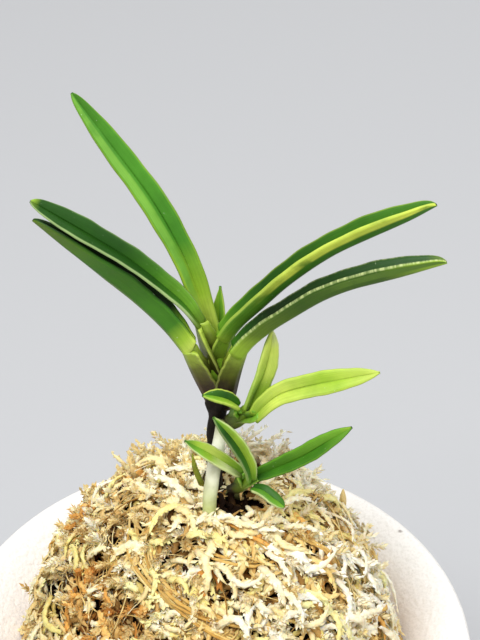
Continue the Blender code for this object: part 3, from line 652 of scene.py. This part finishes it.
def ragged_tube(name, points, radii, along, sides, rough, seed=3):
    """A tube with an uneven skin, such as an old stem or a root."""
    odd = random.Random(seed)
    path = [p * MM for p in smooth_path(points, along)]
    sizes = spread(radii, np.linspace(0, 1, along)) * MM
    waves = [(odd.uniform(0, 6.3), odd.uniform(0.15, 0.9), odd.randint(1, 4)) for _ in range(6)]
    rings, ss, us = [], [], []
    for i, (point, run, size) in enumerate(zip(path, tangents(path), sizes)):
        side, front = across((0.9, -0.4, 0.1), run)
        for k in range(sides):
            a = 2 * pi * k / sides
            swell = sum(sin(phase + i * pace + a * turns) for phase, pace, turns in waves) / len(waves)
            r = size * (1 + rough * swell)
            rings.append(point + side * r * cos(a) + front * r * sin(a))
            ss.append(i / (along - 1))
            us.append(k / sides)
    end = (along - 1) * sides
    caps = [tuple(range(sides))[::-1], tuple(range(end, end + sides))]
    return outward(mesh_object(name, rings, ring_faces(along, sides) + caps, dict(leaf_s=ss, leaf_u=us)))


ROOT_POINTS = [(2.6, 2.4, 169.5), (2.1, 0.4, 165), (1.2, -1.2, 160.4), (0.4, -3.4, 155.6), (0, -5, 151),
               (-0.4, -6.4, 141), (-2, -7, 130)]
ROOT_SIZES = [1, 1.5, 1.55, 1.5, 1.5, 1.4, 1.3]


def build_roots():
    g = Graph("root_skin")
    grain = g.noise(g.place(), 350, 4)
    face = g.ramp(g.attribute("leaf_s"), {0: (0.3, 0.32, 0.1), 0.1: (0.86, 0.86, 0.68), 0.32: (0.8, 0.8, 0.6),
                                          0.48: (0.55, 0.62, 0.25), 1: (0.7, 0.7, 0.45)})
    face = g.tint(0.5, face, grain, {0.35: (0.55, 0.55, 0.42), 0.6: WHITE})
    skin = g.finish(face, 0.6, bump=(grain, 0.5, 0.3 * MM))
    wear(ragged_tube("aerial_root_skin", ROOT_POINTS, ROOT_SIZES, 70, 16, 0.06), skin, "root", "aerial_root")
    for name in ("root_left", "root_back", "root_right", "root_centre"):
        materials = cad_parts[name].data.materials
        materials.clear()
        materials.append(skin)


# Pot
LIP = (RIM_RADIUS - LIP_RADIUS, POT_HEIGHT - LIP_RADIUS)
NECK = (THROAT_RADIUS + WALL * 0.55, POT_HEIGHT - THROAT_DEPTH - 2.2 * WALL)
FLARE_STEPS, BELLY_STEPS, SLOPE_STEPS, POT_TURNS = 8, 26, 14, 160
SPECK_PLACE = (0.0452, 0.0359, 0.0998)  # a chip in the rim's glaze


def rim_surface(radius):
    """Height of the wide rim's upper face."""
    t = held((radius - THROAT_RADIUS) / (LIP[0] - THROAT_RADIUS))
    return POT_HEIGHT - THROAT_DEPTH * (1 - t) ** 1.35


def pot_profile():
    """The pot's section as radius and height, from the lip down its outside and up its inside."""
    points = []
    for degrees in range(90, -61, -15):
        a = radians(degrees)
        points.append((LIP[0] + LIP_RADIUS * cos(a), LIP[1] + LIP_RADIUS * sin(a)))
    under = Vector((LIP[0] - 1.5 * MM, LIP[1] - 2.6 * MM))
    for k in range(1, FLARE_STEPS + 1):
        t = 0.12 + 0.88 * k / FLARE_STEPS
        ease = t * t * (3 - 2 * t)
        points.append((under[0] + (NECK[0] - under[0]) * t, under[1] + (NECK[1] - under[1]) * ease))
    for k in range(1, BELLY_STEPS + 1):
        z = NECK[1] + (FOOT_HEIGHT - NECK[1]) * (k / BELLY_STEPS)
        swell = sin(held((NECK[1] - z) / (NECK[1] - BELLY_HEIGHT)) * pi / 2)
        drop = max((BELLY_HEIGHT - z) / (BELLY_HEIGHT - FOOT_HEIGHT), 0)
        radius = NECK[0] + (BELLY_RADIUS + 1.5 * MM - NECK[0]) * swell
        points.append((radius - (radius - FOOT_RADIUS - 1 * MM) * drop ** 2.2, z))
    inner_foot = FOOT_RADIUS - FOOT_WIDTH
    floor_radius = FOOT_RADIUS - WALL
    points += [(FOOT_RADIUS, FOOT_HEIGHT * 0.6), (FOOT_RADIUS - 0.1 * MM, 0.4 * MM),
               (FOOT_RADIUS - 0.6 * MM, 0), (inner_foot + 0.4 * MM, 0), (inner_foot, 0.4 * MM),
               (inner_foot - 1 * MM, FOOT_HEIGHT), (DRAIN_RADIUS + 0.5 * MM, FOOT_HEIGHT),
               (DRAIN_RADIUS, FOOT_HEIGHT + 0.5 * MM), (DRAIN_RADIUS, FLOOR_TOP),
               (floor_radius, FLOOR_TOP), (floor_radius + 4 * MM, FLOOR_TOP + 8 * MM),
               (BELLY_RADIUS - WALL - 1.5 * MM, BELLY_HEIGHT * 0.62), (BELLY_RADIUS - WALL, BELLY_HEIGHT),
               (THROAT_RADIUS - 1.2 * MM, POT_HEIGHT - THROAT_DEPTH - 1.5 * MM)]
    for k in range(SLOPE_STEPS):
        radius = THROAT_RADIUS - 0.6 * MM + (LIP[0] - THROAT_RADIUS + 0.6 * MM) * k / SLOPE_STEPS
        points.append((radius, rim_surface(radius)))
    return points


def pot_material():
    """White glaze, with painted warm shade on the rim's inside near the moss, faint stains, pits and one grey
    chip.
    """
    g = Graph("pot_glaze")
    at = g.place()
    grain = g.noise(at, 700, 2, 0.5)
    pits = g.noise(at, 1500, 2, 0.5)
    stain = g.noise(at, 45, 4, 0.6)
    x, y, z = g.node("SeparateXYZ", {0: at}).outputs
    out = g.math("POWER", g.plus(g.times(x, x), g.times(y, y)), 0.5)
    # Painted shade: a warm pinkish tint on the rim's inner slope next to the moss, mixed with faint real
    # stains.
    painted_shade_near_moss = g.times(g.ease(out, 0.056, 0.044), g.ease(z, 0.085, 0.09))
    shade_and_stain = g.times(g.plus(g.times(painted_shade_near_moss, 0.75), g.times(stain, 0.2)), 0.8)
    face = g.mix(shade_and_stain, (0.87, 0.86, 0.84), (0.84, 0.74, 0.68))
    away = g.node("VectorMath", {0: at, 1: SPECK_PLACE}, operation="DISTANCE")
    spot = g.plus(away.outputs["Value"], g.times(grain, 1.6 * MM))
    face = g.mix(g.ease(spot, 1.55 * MM, 1.2 * MM), face, (0.4, 0.37, 0.35))
    face = g.tint(0.25, face, pits, {0.35: (0.75, 0.74, 0.72), 0.5: WHITE})
    relief = g.plus(grain, g.times(pits, 0.3))
    return g.finish(face, g.plus(0.5, g.times(stain, 0.15)), 0.4, (relief, 0.55, 0.6 * MM))


def build_pot():
    profile = pot_profile()
    points = []
    for k in range(POT_TURNS):
        a = 2 * pi * k / POT_TURNS
        points += [(x * cos(a), x * sin(a), z) for x, z in profile]
    pot = outward(mesh_object("pot_shell", points, ring_faces(POT_TURNS, len(profile), closed=True)))
    pot.data.set_sharp_from_angle(angle=radians(45))
    wear(pot, pot_material(), "pot_ceramic", "pot")


# Sphagnum: one seeded source gives all of its random numbers, so their order decides its shape
draw = random.Random(11)
between, gauss = draw.uniform, draw.gauss
THIN = 1

# Kinds of strand, and the colours of each from tone 0 to 1
PLAIN, RUSTY, STRAW, FRESH_KIND, GREEN_KIND = 0.0, 1.0, 2.0, 3.0, 4.0
MOSS_COLOURS = [
    {0: (0.012, 0.005, 0.002), 0.09: (0.03, 0.012, 0.004), 0.18: (0.25, 0.13, 0.035),
     0.3: (0.58, 0.37, 0.13), 0.5: (0.79, 0.61, 0.28), 0.7: (0.89, 0.77, 0.43),
     0.86: (0.93, 0.87, 0.6), 1: (0.96, 0.93, 0.8)},
    {0: (0.14, 0.045, 0.01), 0.45: (0.6, 0.27, 0.06), 0.8: (0.84, 0.5, 0.15), 1: (0.93, 0.72, 0.32)},
    {0: (0.3, 0.15, 0.035), 0.5: (0.66, 0.44, 0.14), 1: (0.86, 0.68, 0.31)},
    {0: (0.46, 0.33, 0.09), 0.5: (0.8, 0.7, 0.26), 1: (0.92, 0.88, 0.46)},
    {0: (0.1, 0.14, 0.01), 1: (0.5, 0.6, 0.1)},
]

# Rust-brown patches on the dome: turn in degrees, rise, and reach in mm
RUST_PATCHES = [
    (150, 0.32, 8), (144, 0.22, 5), (-145, 0.38, 9), (-129, 0.3, 6), (-165, 0.3, 5), (-16, 0.16, 5),
    (-13, 0.11, 4), (-35, 0.3, 4), (110, 0.14, 3), (-90, 0.1, 3), (-70, 0.5, 6), (-20, 0.6, 6),
    (60, 0.4, 7), (95, 0.6, 7), (20, 0.75, 6), (-120, 0.75, 7),
]

# Tall heads on the dome's crest, behind the plant: turn in degrees, rise and height in mm
CREST_TUFTS = [
    (103, 0.1, 7.5), (112, 0.13, 8), (116, 0.14, 7), (93, 0.09, 6), (76, 0.1, 10.5), (70, 0.12, 9.5),
    (62, 0.14, 7.5), (52, 0.17, 9.5), (47, 0.2, 8), (38, 0.26, 6), (125, 0.2, 6), (133, 0.24, 7.5),
    (138, 0.27, 6.5), (28, 0.3, 5), (149, 0.34, 6.5), (158, 0.42, 5),
]

# Bundles of straw on the dome: from and to, as turn in degrees and rise, half-width in mm, stalks, and
# kind where it isn't straw
STRAWS = [
    ((-176, 0.085), (-72, 0.24), 0.42, 5), ((-150, 0.07), (-67, 0.34), 0.4, 4),
    ((-129, 0.12), (-70, 0.25), 0.5, 3), ((-60, 0.02), (-26, 0.14), 0.6, 3, RUSTY),
    ((-110, 0.05), (-40, 0.12), 0.45, 2), ((-45, 0.08), (-18, 0.26), 0.45, 2),
    ((-15, 0.1), (-12, 0.3), 0.5, 2), ((-66, 0.2), (-44, 0.34), 0.45, 3),
    ((-140, 0.3), (-100, 0.6), 0.5, 3), ((-80, 0.4), (-50, 0.7), 0.5, 3), ((20, 0.2), (60, 0.55), 0.5, 3),
    ((150, 0.15), (100, 0.45), 0.5, 3), ((60, 0.4), (120, 0.7), 0.5, 3), ((170, 0.5), (135, 0.8), 0.5, 3),
    ((-20, 0.5), (10, 0.8), 0.5, 3),
]

# Layers of strands: how many, lengths and half-widths in mm, heights over the bed in mm, tones, how mixed
# their directions are, leaves on each, how low a hollow may be to hold them, and their segments, sides
# and flatness
# The lower layers' darker tones are partly the older moss's own browner colour and partly painted shade in
# the gaps between the strands.
LAYERS = {
    "moss_deep": (1300, (5, 9), (0.7, 1.1), (-0.9, 0.0), (0.06, 0.34), 1.2, 2, -2, (7, 5, 0.6)),
    "moss_middle": (1300, (4, 8), (0.6, 1.0), (0.1, 1.0), (0.3, 0.8), 1.0, 5, -0.22, (7, 5, 0.6)),
    "moss_upper": (1250, (4, 8), (0.6, 1.0), (0.7, 1.8), (0.6, 1.0), 0.9, 6, -0.12, (7, 5, 0.6)),
    "moss_top": (430, (6, 11), (0.75, 1.15), (1.5, 2.8), (0.65, 1.0), 0.65, 10, -0.25, (10, 7, 0.5)),
}
FRINGE_STRANDS = TUFTS = FIBRES = 900
CURLS_AT_FOOT, LOOSE_CURLS, ROOT_STRANDS = 8, 14, 9
STALK_LEAVES, CREST_STALKS = 30, 8
CURL_STEPS, STRAW_STEPS, FIBRE_STEPS = 13, 20, 7
BED_RINGS, BED_TURNS = 40, 96
CLUMP = 7.0  # size of the moss's hollows and crests, in mm


def dome_height(radius):
    t = min(radius / DOME_RADIUS, 1)
    return DOME_HEIGHT * (1 - t ** DOME_POWER) ** (1 / DOME_POWER)


def dome_normal(p):
    flat = Vector((p.x, p.y, 0)) / DOME_RADIUS ** 2
    return (flat + UP * max(p.z - POT_HEIGHT, 0) / DOME_HEIGHT ** 2).normalized()


def lump(p):
    """The dome's gentle bumps, as in the part's source."""
    x, y, z = (c / MM for c in p)
    waves = (sin(x * 0.42 + 1.3) * sin(y * 0.37 + 0.4)
             + 0.7 * sin(z * 0.45 + x * 0.2) + 0.5 * sin(y * 0.8 - z * 0.3 + 2))
    return 1.5 * MM * waves / 2.2


def pit(p):
    """How far the dome sinks round the plant's foot."""
    away = hypot(p.x - PIT_CENTRE.x, p.y - PIT_CENTRE.y) / PIT_RADIUS
    return PIT_DEPTH * max(1 - away ** 2, 0)


def on_dome(turn, rise):
    """A place on the moss's surface: rise runs from 0 at its top to 1 at the rim's foot."""
    radius = DOME_RADIUS * sqrt(max(1 - (1 - rise) ** 2, 0))
    p = Vector((radius * cos(turn), radius * sin(turn), POT_HEIGHT + dome_height(radius)))
    normal = dome_normal(p)
    p += normal * (lump(p) - STRAND_ROOM * min(abs(p.x) / (24 * MM), 1)) - UP * pit(p)
    return p, normal


def clear_of_rim(p, size):
    lowest = rim_surface(hypot(p.x, p.y) + size) + size * 0.6
    return Vector((p.x, p.y, max(p.z, lowest)))


def scatter(*widths):
    return Vector([gauss(0, width) for width in widths])


def flow(p, normal, loose):
    """The way strands lie at a place: downhill and to the right, more so on the near side."""
    down = -UP + normal * normal.z
    down = down.normalized() if down.length > 1e-6 else RIGHT
    right = RIGHT - normal * normal.x
    swing = scatter(1, 1, 1)
    swing -= normal * swing.dot(normal)
    run = down * 0.8 + right.normalized() * (0.5 if p.y < 0 else 0.15) + swing * loose
    return run.normalized()


def clump(p):
    """From about -1 in a hollow of the moss to 1 on a crest."""
    return noise.noise(p / (CLUMP * MM)) + 0.5 * noise.noise(p / (CLUMP * 0.45 * MM) + Vector((9, 4, 2)))


def in_view_pit(p):
    """Whether a place is in the gap round the plant's foot, where strands would hide it."""
    return hypot((p.x - 5 * MM) / 1.2, p.y - 1 * MM) < 5 * MM and p.z > POT_HEIGHT + 30 * MM


def tufted(p):
    """Whether the moss at a place is crumbly heads, as at its top left, and not long strands."""
    return p.x < -4 * MM + 6 * MM * noise.noise(p / (9 * MM)) and p.z > POT_HEIGHT + 24 * MM


def rust_at(p):
    """Whether a strand at a place is rusty: likelier the nearer it is to a patch's centre."""
    for turn, rise, reach in RUST_PATCHES:
        centre, _ = on_dome(radians(turn), rise)
        if (p - centre).length < reach * MM * between(0, 1.25):
            return True
    return False


class Heap:
    """Gathers many small meshes as one piece, with tone, along and kind values for each point."""

    def __init__(self, name):
        self.name, self.points, self.faces, self.marks = name, [], [], []

    def tube(self, path, widths, depths, normal, tone, kind, sides=5, jag=0.0):
        """A closed strand of oval sections; jag roughens its outline."""
        start = len(self.points)
        count = len(path)
        for i, (p, run) in enumerate(zip(path, tangents(path))):
            side = run.cross(normal)
            side = side.normalized() if side.length > 1e-6 else RIGHT
            front = side.cross(run)
            for k in range(sides):
                a = 2 * pi * (k + 0.5 * (i % 2)) / sides
                grow = 1 + (between(-jag, jag) if jag else 0)
                self.points.append(p + side * widths[i] * grow * cos(a) + front * depths[i] * grow * sin(a))
            self.marks += [(tone, i / (count - 1), kind)] * sides
        end = start + (count - 1) * sides
        self.faces += ring_faces(count, sides, start)
        self.faces += [tuple(range(start, start + sides))[::-1], tuple(range(end, end + sides))]

    def leaflet(self, foot, run, out, length, width, tone, kind):
        """A small folded pointed moss leaf."""
        n = len(self.points)
        side = run.cross(out).normalized() * width
        middle = foot + run * length * 0.45
        self.points += [foot, middle + side - out * width * 0.35, foot + run * length,
                        middle - side - out * width * 0.35, middle + out * width * 0.3]
        self.marks += [(tone, along, kind) for along in (0.3, 0.7, 1, 0.7, 0.6)]
        self.faces += [(n + k, n + (k + 1) % 4, n + 4) for k in range(4)]

    def finish(self, skin, *nodes):
        values = dict(zip(("tone", "along", "kind"), zip(*self.marks)))
        wear(mesh_object(self.name, self.points, self.faces, values), skin, "moss", *nodes)


def branch(heap, p, normal, run, length, width, lift, tone, kind, segments=8, sides=6, leaves=5, flat=0.55):
    """One plump, tapered moss branch with ragged edges; it arches over the dome and curls aside."""
    curl = gauss(0, 0.85)
    arch = between(0.02, 0.26)
    bend = normal.cross(run)
    path, widths = [], []
    for i in range(segments + 1):
        t = i / segments
        place = p + run * length * (t - 0.4) + bend * curl * length * (t - 0.4) ** 2
        place += normal * length * (arch * sin(pi * t) + lift * t * t)
        path.append(clear_of_rim(place, width))
        shape = 0.55 + 0.45 * sin(pi * min(0.12 + t, 1)) if i < segments else 0.1
        widths.append(width * shape * (between(1.0, 1.3) if i % 2 else between(0.72, 0.95)))
    heap.tube(path, widths, [w * flat for w in widths], normal, tone, kind, sides, 0.16)
    runs = tangents(path)
    for j in range(leaves):
        t = (j + draw.random()) / leaves * segments
        i = min(int(t), segments - 1)
        centre = path[i].lerp(path[i + 1], t - i)
        a = draw.choice((0, pi)) + gauss(0, 0.5)
        side = runs[i].cross(normal).normalized()
        out = (side * cos(a) + normal * abs(sin(a)) * flat).normalized()
        point = (runs[i] + out * between(0.25, 0.9)).normalized()
        foot = centre + out * widths[i] * 0.5
        up = (out * 0.4 + normal - point * (out * 0.4 + normal).dot(point)).normalized()
        heap.leaflet(foot, point, up, between(1.2, 2.2) * width, between(0.35, 0.6) * width,
                     held(tone + between(-0.08, 0.12)), kind)


def moss_material():
    """Tone picks a colour in the ramp of the strand's kind, and a strand darkens at its foot."""
    g = Graph("sphagnum")
    tone, along, kind = g.attribute("tone"), g.attribute("along"), g.attribute("kind")
    face, *others = (g.ramp(tone, stops) for stops in MOSS_COLOURS)
    for (low, high), ramp in zip(((0.6, 0.9), (1.4, 1.8), (2.4, 2.8), (3.4, 3.8)), others):
        face = g.mix(g.ease(kind, low, high), face, ramp)
    at = g.place()
    grain = g.noise(at, 800, 4, 0.65)
    broad = g.noise(at, 75, 3, 0.6)
    face = g.tint(0.5, face, grain, {0.32: (0.72, 0.54, 0.28), 0.56: WHITE})
    face = g.tint(0.5, face, broad, {0.4: (0.95, 0.8, 0.5), 0.54: WHITE})
    foot = g.math("SUBTRACT", 1, g.ease(along, 0.0, 0.3))
    face = g.mix(g.times(foot, 0.25), face, (0.3, 0.15, 0.05))
    return g.finish(face, 0.9, 0.1, (grain, 0.6, 0.4 * MM), (0.25, (0.9, 0.6, 0.3), 0.8 * MM))


def build_moss():
    skin = moss_material()
    build_moss_bed(skin)
    for name, (full, lengths, widths, heights, tones, loose, leaves, lowest, build) in LAYERS.items():
        heap = Heap(name)
        count = int(full * THIN)
        segments, sides, flat = build
        for i in range(count):
            rise = (i + draw.random()) / count
            p, normal = on_dome(i * GOLDEN_ANGLE + between(-0.2, 0.2), rise)
            crest = clump(p)
            in_painted_shade_pit = in_view_pit(p)
            if (in_painted_shade_pit and name != "moss_deep") or crest < lowest:
                continue
            if name == "moss_top" and tufted(p) and draw.random() < 0.75:
                continue
            run = flow(p, normal, loose)
            # Painted shade and light: tone falls in the hollows and rises on the crests; it also rises
            # towards the right.
            tone = held(between(*tones) + 0.12 * crest + 0.2 * p.x / DOME_RADIUS)
            kind = RUSTY if rust_at(p) and draw.random() < 0.85 else PLAIN
            # Painted shade: strands in the pit round the plant's foot are near black, standing for the shade
            # in that hollow.
            if in_painted_shade_pit:
                tone, kind = 0.0, PLAIN
            elif kind == PLAIN and draw.random() < 0.17:
                kind = FRESH_KIND
            start = p + normal * (between(*heights) + 0.9 * crest) * MM
            branch(heap, start, normal, run, between(*lengths) * MM, between(*widths) * MM,
                   between(-0.15, 0.3), tone, kind, segments, sides, leaves, flat)
        heap.finish(skin, *(["moss"] if name == "moss_deep" else []))
    build_moss_tufts(skin)
    build_moss_fringe(skin)
    build_moss_curls(skin)
    build_moss_straw(skin)
    build_sprigs(skin)


def build_moss_bed(skin):
    """The lumpy bed under the strands, near black as painted shade in the gaps between them, and the plug
    that shows through the drain hole.
    """
    angles = [2 * pi * k / BED_TURNS for k in range(BED_TURNS)]
    points = []
    for i in range(BED_RINGS + 1):
        for a in angles:
            p, normal = on_dome(a, i / BED_RINGS)
            points.append(p - normal * 1.2 * MM)
    plug = [(DOME_RADIUS - 0.6 * MM, POT_HEIGHT - 0.6 * THROAT_DEPTH),
            (THROAT_RADIUS - 2.4 * MM, POT_HEIGHT - THROAT_DEPTH),
            (BELLY_RADIUS - WALL - 0.6 * MM, BELLY_HEIGHT),
            (FOOT_RADIUS - WALL - 0.4 * MM, FLOOR_TOP + 0.5 * MM), (0.5 * MM, FLOOR_TOP + 0.5 * MM)]
    for radius, z in plug:
        points += [Vector((radius * cos(a), radius * sin(a), z)) for a in angles]
    count = len(points)
    faces = ring_faces(BED_RINGS + 1, BED_TURNS)
    faces.append(tuple(range(BED_TURNS))[::-1])
    faces += ring_faces(len(plug) + 1, BED_TURNS, BED_RINGS * BED_TURNS)
    faces.append(tuple(range(count - BED_TURNS, count)))
    # Painted shade: tone 0, near black, for every point of the bed and the plug.
    values = dict(tone=[0.0] * count, along=[1.0] * count, kind=[PLAIN] * count)
    wear(outward(mesh_object("moss_bed", points, faces, values)), skin, "moss")


def build_moss_tufts(skin):
    """Leafy heads: short stalks crowded with small pointed leaves, thick on the dome's crest."""
    heap = Heap("moss_tufts")
    count = int(TUFTS * THIN)
    for i in range(count):
        rise = ((i + draw.random()) / count) ** 1.15
        p, normal = on_dome(i * GOLDEN_ANGLE, rise)
        crest = clump(p)
        if in_view_pit(p) or (not tufted(p) and draw.random() < 0.55):
            continue
        p += normal * (0.5 + 1.1 * crest) * MM
        # Painted shade and light: tone falls in the hollows and rises on the crests; it also rises towards
        # the right.
        tone = held(between(0.45, 1) + 0.15 * crest + 0.3 * max(p.x, 0) / DOME_RADIUS)
        kind = RUSTY if rust_at(p) and draw.random() < 0.75 else PLAIN
        run = (flow(p, normal, 0.9) * 0.8 + normal * between(0.5, 1.5)).normalized()
        length = between(2, 4.6 if draw.random() < 0.75 else 7) * MM
        side, front = across((0.3, 0.9, 0.2), run)
        for j in range(STALK_LEAVES):
            t = (j + 0.5) / STALK_LEAVES
            a = j * GOLDEN_ANGLE
            out = (side * cos(a) + front * sin(a)).normalized()
            foot = clear_of_rim(p + run * length * t + out * 0.25 * MM, 0.6 * MM)
            point = (run * (0.35 + 0.75 * t) + out * (1.0 - 0.55 * t)).normalized()
            heap.leaflet(foot, point, (out - point * out.dot(point)).normalized(), between(1, 2) * MM,
                         between(0.3, 0.55) * MM, held(tone + between(-0.18, 0.18)), kind)
    for turn, rise, reach in CREST_TUFTS:
        foot, _ = on_dome(radians(turn), rise)
        for _ in range(CREST_STALKS):
            lean = Vector((gauss(0, 1), gauss(0, 0.6), 0)) * 0.3
            start = foot + Vector((gauss(0, 1.1), gauss(0, 0.7), 0.6)) * MM
            branch(heap, start + UP * reach * 0.4 * MM, Vector((0, -1, 0.2)), (UP + lean).normalized(),
                   reach * between(0.75, 1.1) * MM, between(0.6, 0.95) * MM, 0.05,
                   1.0 if start.x > 0 else between(0.5, 0.95), PLAIN, 8, 6, 18, 0.8)
    heap.finish(skin)


def build_moss_fringe(skin):
    """Strands that fill the gap between the dome's foot and the pot's throat and spill on its lip."""
    heap = Heap("moss_fringe")
    for _ in range(int(FRINGE_STRANDS * THIN)):
        turn = between(-pi, pi)
        t = draw.random()
        radius = (40.2 + 2.6 * t + between(-0.4, 1.4)) * MM
        out = Vector((cos(turn), sin(turn), 0))
        p = out * radius + UP * (POT_HEIGHT + (3 - 10 * t) * MM)
        normal = (out + UP * between(0.2, 0.8)).normalized()
        run = UP.cross(out) * gauss(0, 1) - UP * between(-0.2, 0.9) + out * between(-0.1, 0.35)
        run = (run - normal * run.dot(normal)).normalized()
        kind = RUSTY if rust_at(out * DOME_RADIUS + UP * POT_HEIGHT) else PLAIN
        branch(heap, p, normal, run, between(3.5, 7) * MM, between(0.55, 0.95) * MM,
               between(-0.1, 0.15), between(0.3, 0.9), kind, 6, 5, 4, 0.6)
    heap.finish(skin)


def build_moss_curls(skin):
    """Pale, worm-like strands that arch round the foot of the plant and here and there on the dome."""
    heap = Heap("moss_curls")
    spots = [(-80 + 28 * k + between(-10, 10), between(0.012, 0.05)) for k in range(CURLS_AT_FOOT)]
    spots += [(between(-180, 180), between(0.05, 0.9)) for _ in range(LOOSE_CURLS)]
    for turn, rise in spots:
        p, normal = on_dome(radians(turn), rise)
        run = flow(p, normal, 1.3)
        bend = normal.cross(run)
        reach = between(1.8, 4) * MM
        sweep = between(1.6, 3.2)
        size = between(0.45, 0.75) * MM
        path, sizes = [], []
        for k in range(CURL_STEPS):
            t = k / (CURL_STEPS - 1)
            a = sweep * t
            place = p + run * reach * sin(a) + bend * reach * (1 - cos(a))
            place += normal * (1.6 + 1.5 * sin(pi * t)) * MM
            path.append(clear_of_rim(place, size))
            sizes.append(size * (0.5 + 0.5 * sin(pi * (0.12 + 0.76 * t))) * (1 + 0.12 * (k % 2)))
        heap.tube(path, sizes, [w * 0.7 for w in sizes], normal, between(0.75, 1), PLAIN, 7, 0.08)
    # Strands across the foot of the white root, which goes down into the moss
    for _ in range(ROOT_STRANDS):
        place = Vector((between(-3, 3), between(-8.2, -6.8), between(148.6, 150))) * MM
        run = scatter(1, 0.4, 0.5).normalized()
        branch(heap, place, Vector((0, -0.6, 0.8)), run, between(4, 6.5) * MM,
               between(0.5, 0.85) * MM, between(0, 0.3), between(0.6, 1), PLAIN)
    heap.finish(skin)


def build_moss_straw(skin):
    """Bundles of straight straw, and fine fibres all over the dome."""
    heap = Heap("moss_straw")
    for (turn_from, rise_from), (turn_to, rise_to), width, stalks, *kind in STRAWS:
        for stalk in range(stalks):
            path = []
            swerve = between(-0.008, 0.008)
            beside = (stalk - stalks / 2 + between(-0.3, 0.3)) * width * 1.5 * MM
            first, last = between(0, 0.12), between(0.86, 1)
            for k in range(STRAW_STEPS):
                t = first + (last - first) * k / (STRAW_STEPS - 1)
                turn = radians(turn_from + (turn_to - turn_from) * t)
                # Rise goes with the square of the distance from the top, so its root gives a straight stalk
                rise = (sqrt(rise_from) + (sqrt(rise_to) - sqrt(rise_from)) * t) ** 2
                p, normal = on_dome(turn, min(rise + swerve * sin(pi * t), 0.98))
                path.append(p + normal * (2.6 + 0.25 * sin(4 * pi * t + stalk)) * MM)
            path = [clear_of_rim(p + run.cross(UP).normalized() * beside, 0.5 * MM)
                    for p, run in zip(path, tangents(path))]
            bulges = (0.45 + 0.55 * sin(pi * (0.1 + 0.8 * k / (STRAW_STEPS - 1))) for k in range(STRAW_STEPS))
            sizes = [width * MM * between(0.8, 1.1) * bulge for bulge in bulges]
            heap.tube(path, sizes, [w * 0.45 for w in sizes], normal, between(0.3, 0.9), *(kind or [STRAW]),
                      sides=6, jag=0.08)
    for _ in range(FIBRES):
        turn, rise = between(-pi, pi), between(0.05, 0.97)
        p, normal = on_dome(turn, rise)
        if in_view_pit(p):
            continue
        run = flow(p, normal, 1.2)
        length = between(4, 11) * MM
        bend = normal.cross(run)
        curl = between(-0.8, 0.8)
        path = []
        for k in range(FIBRE_STEPS):
            t = k / (FIBRE_STEPS - 1)
            path.append(clear_of_rim(p + normal * (1.2 + 1.3 * sin(pi * t)) * MM + run * length * (t - 0.5)
                                     + bend * curl * length * t * t, 0.3 * MM))
        sizes = [between(0.1, 0.2) * MM] * FIBRE_STEPS
        heap.tube(path, sizes, sizes, normal, between(0.1, 1), STRAW if draw.random() < 0.5 else PLAIN, 4)
    heap.finish(skin)


def build_sprigs(skin):
    """A green thread beside the lowest leaf and a lone brown bud on the right of the dome."""
    heap = Heap("moss_sprigs")
    thread = ((-1.6, 2, 150), (-2.4, 2.2, 152.4), (-3.3, 2.6, 155.4), (-3.7, 3, 158.6))
    heap.tube([Vector(p) * MM for p in thread], [w * MM for w in (0.75, 0.7, 0.6, 0.2)], [0.4 * MM] * 4,
              Vector((0, -1, 0.3)), 0.35, GREEN_KIND, 6)
    foot, normal = on_dome(radians(35), 0.54)
    bud = [foot + normal * 2.2 * MM + UP * h * MM for h in (0, 1.8, 3.8, 5.8, 8)]
    widths, depths = (0.5, 0.7, 1.0, 0.85, 0.2), (0.5, 0.7, 0.8, 0.6, 0.2)
    heap.tube(bud, [w * MM for w in widths], [w * MM for w in depths], normal, 0.55, PLAIN, 7, 0.15)
    heap.finish(skin)


set_stage()
build_pot()
build_stems()
build_leaves()
build_roots()
build_moss()
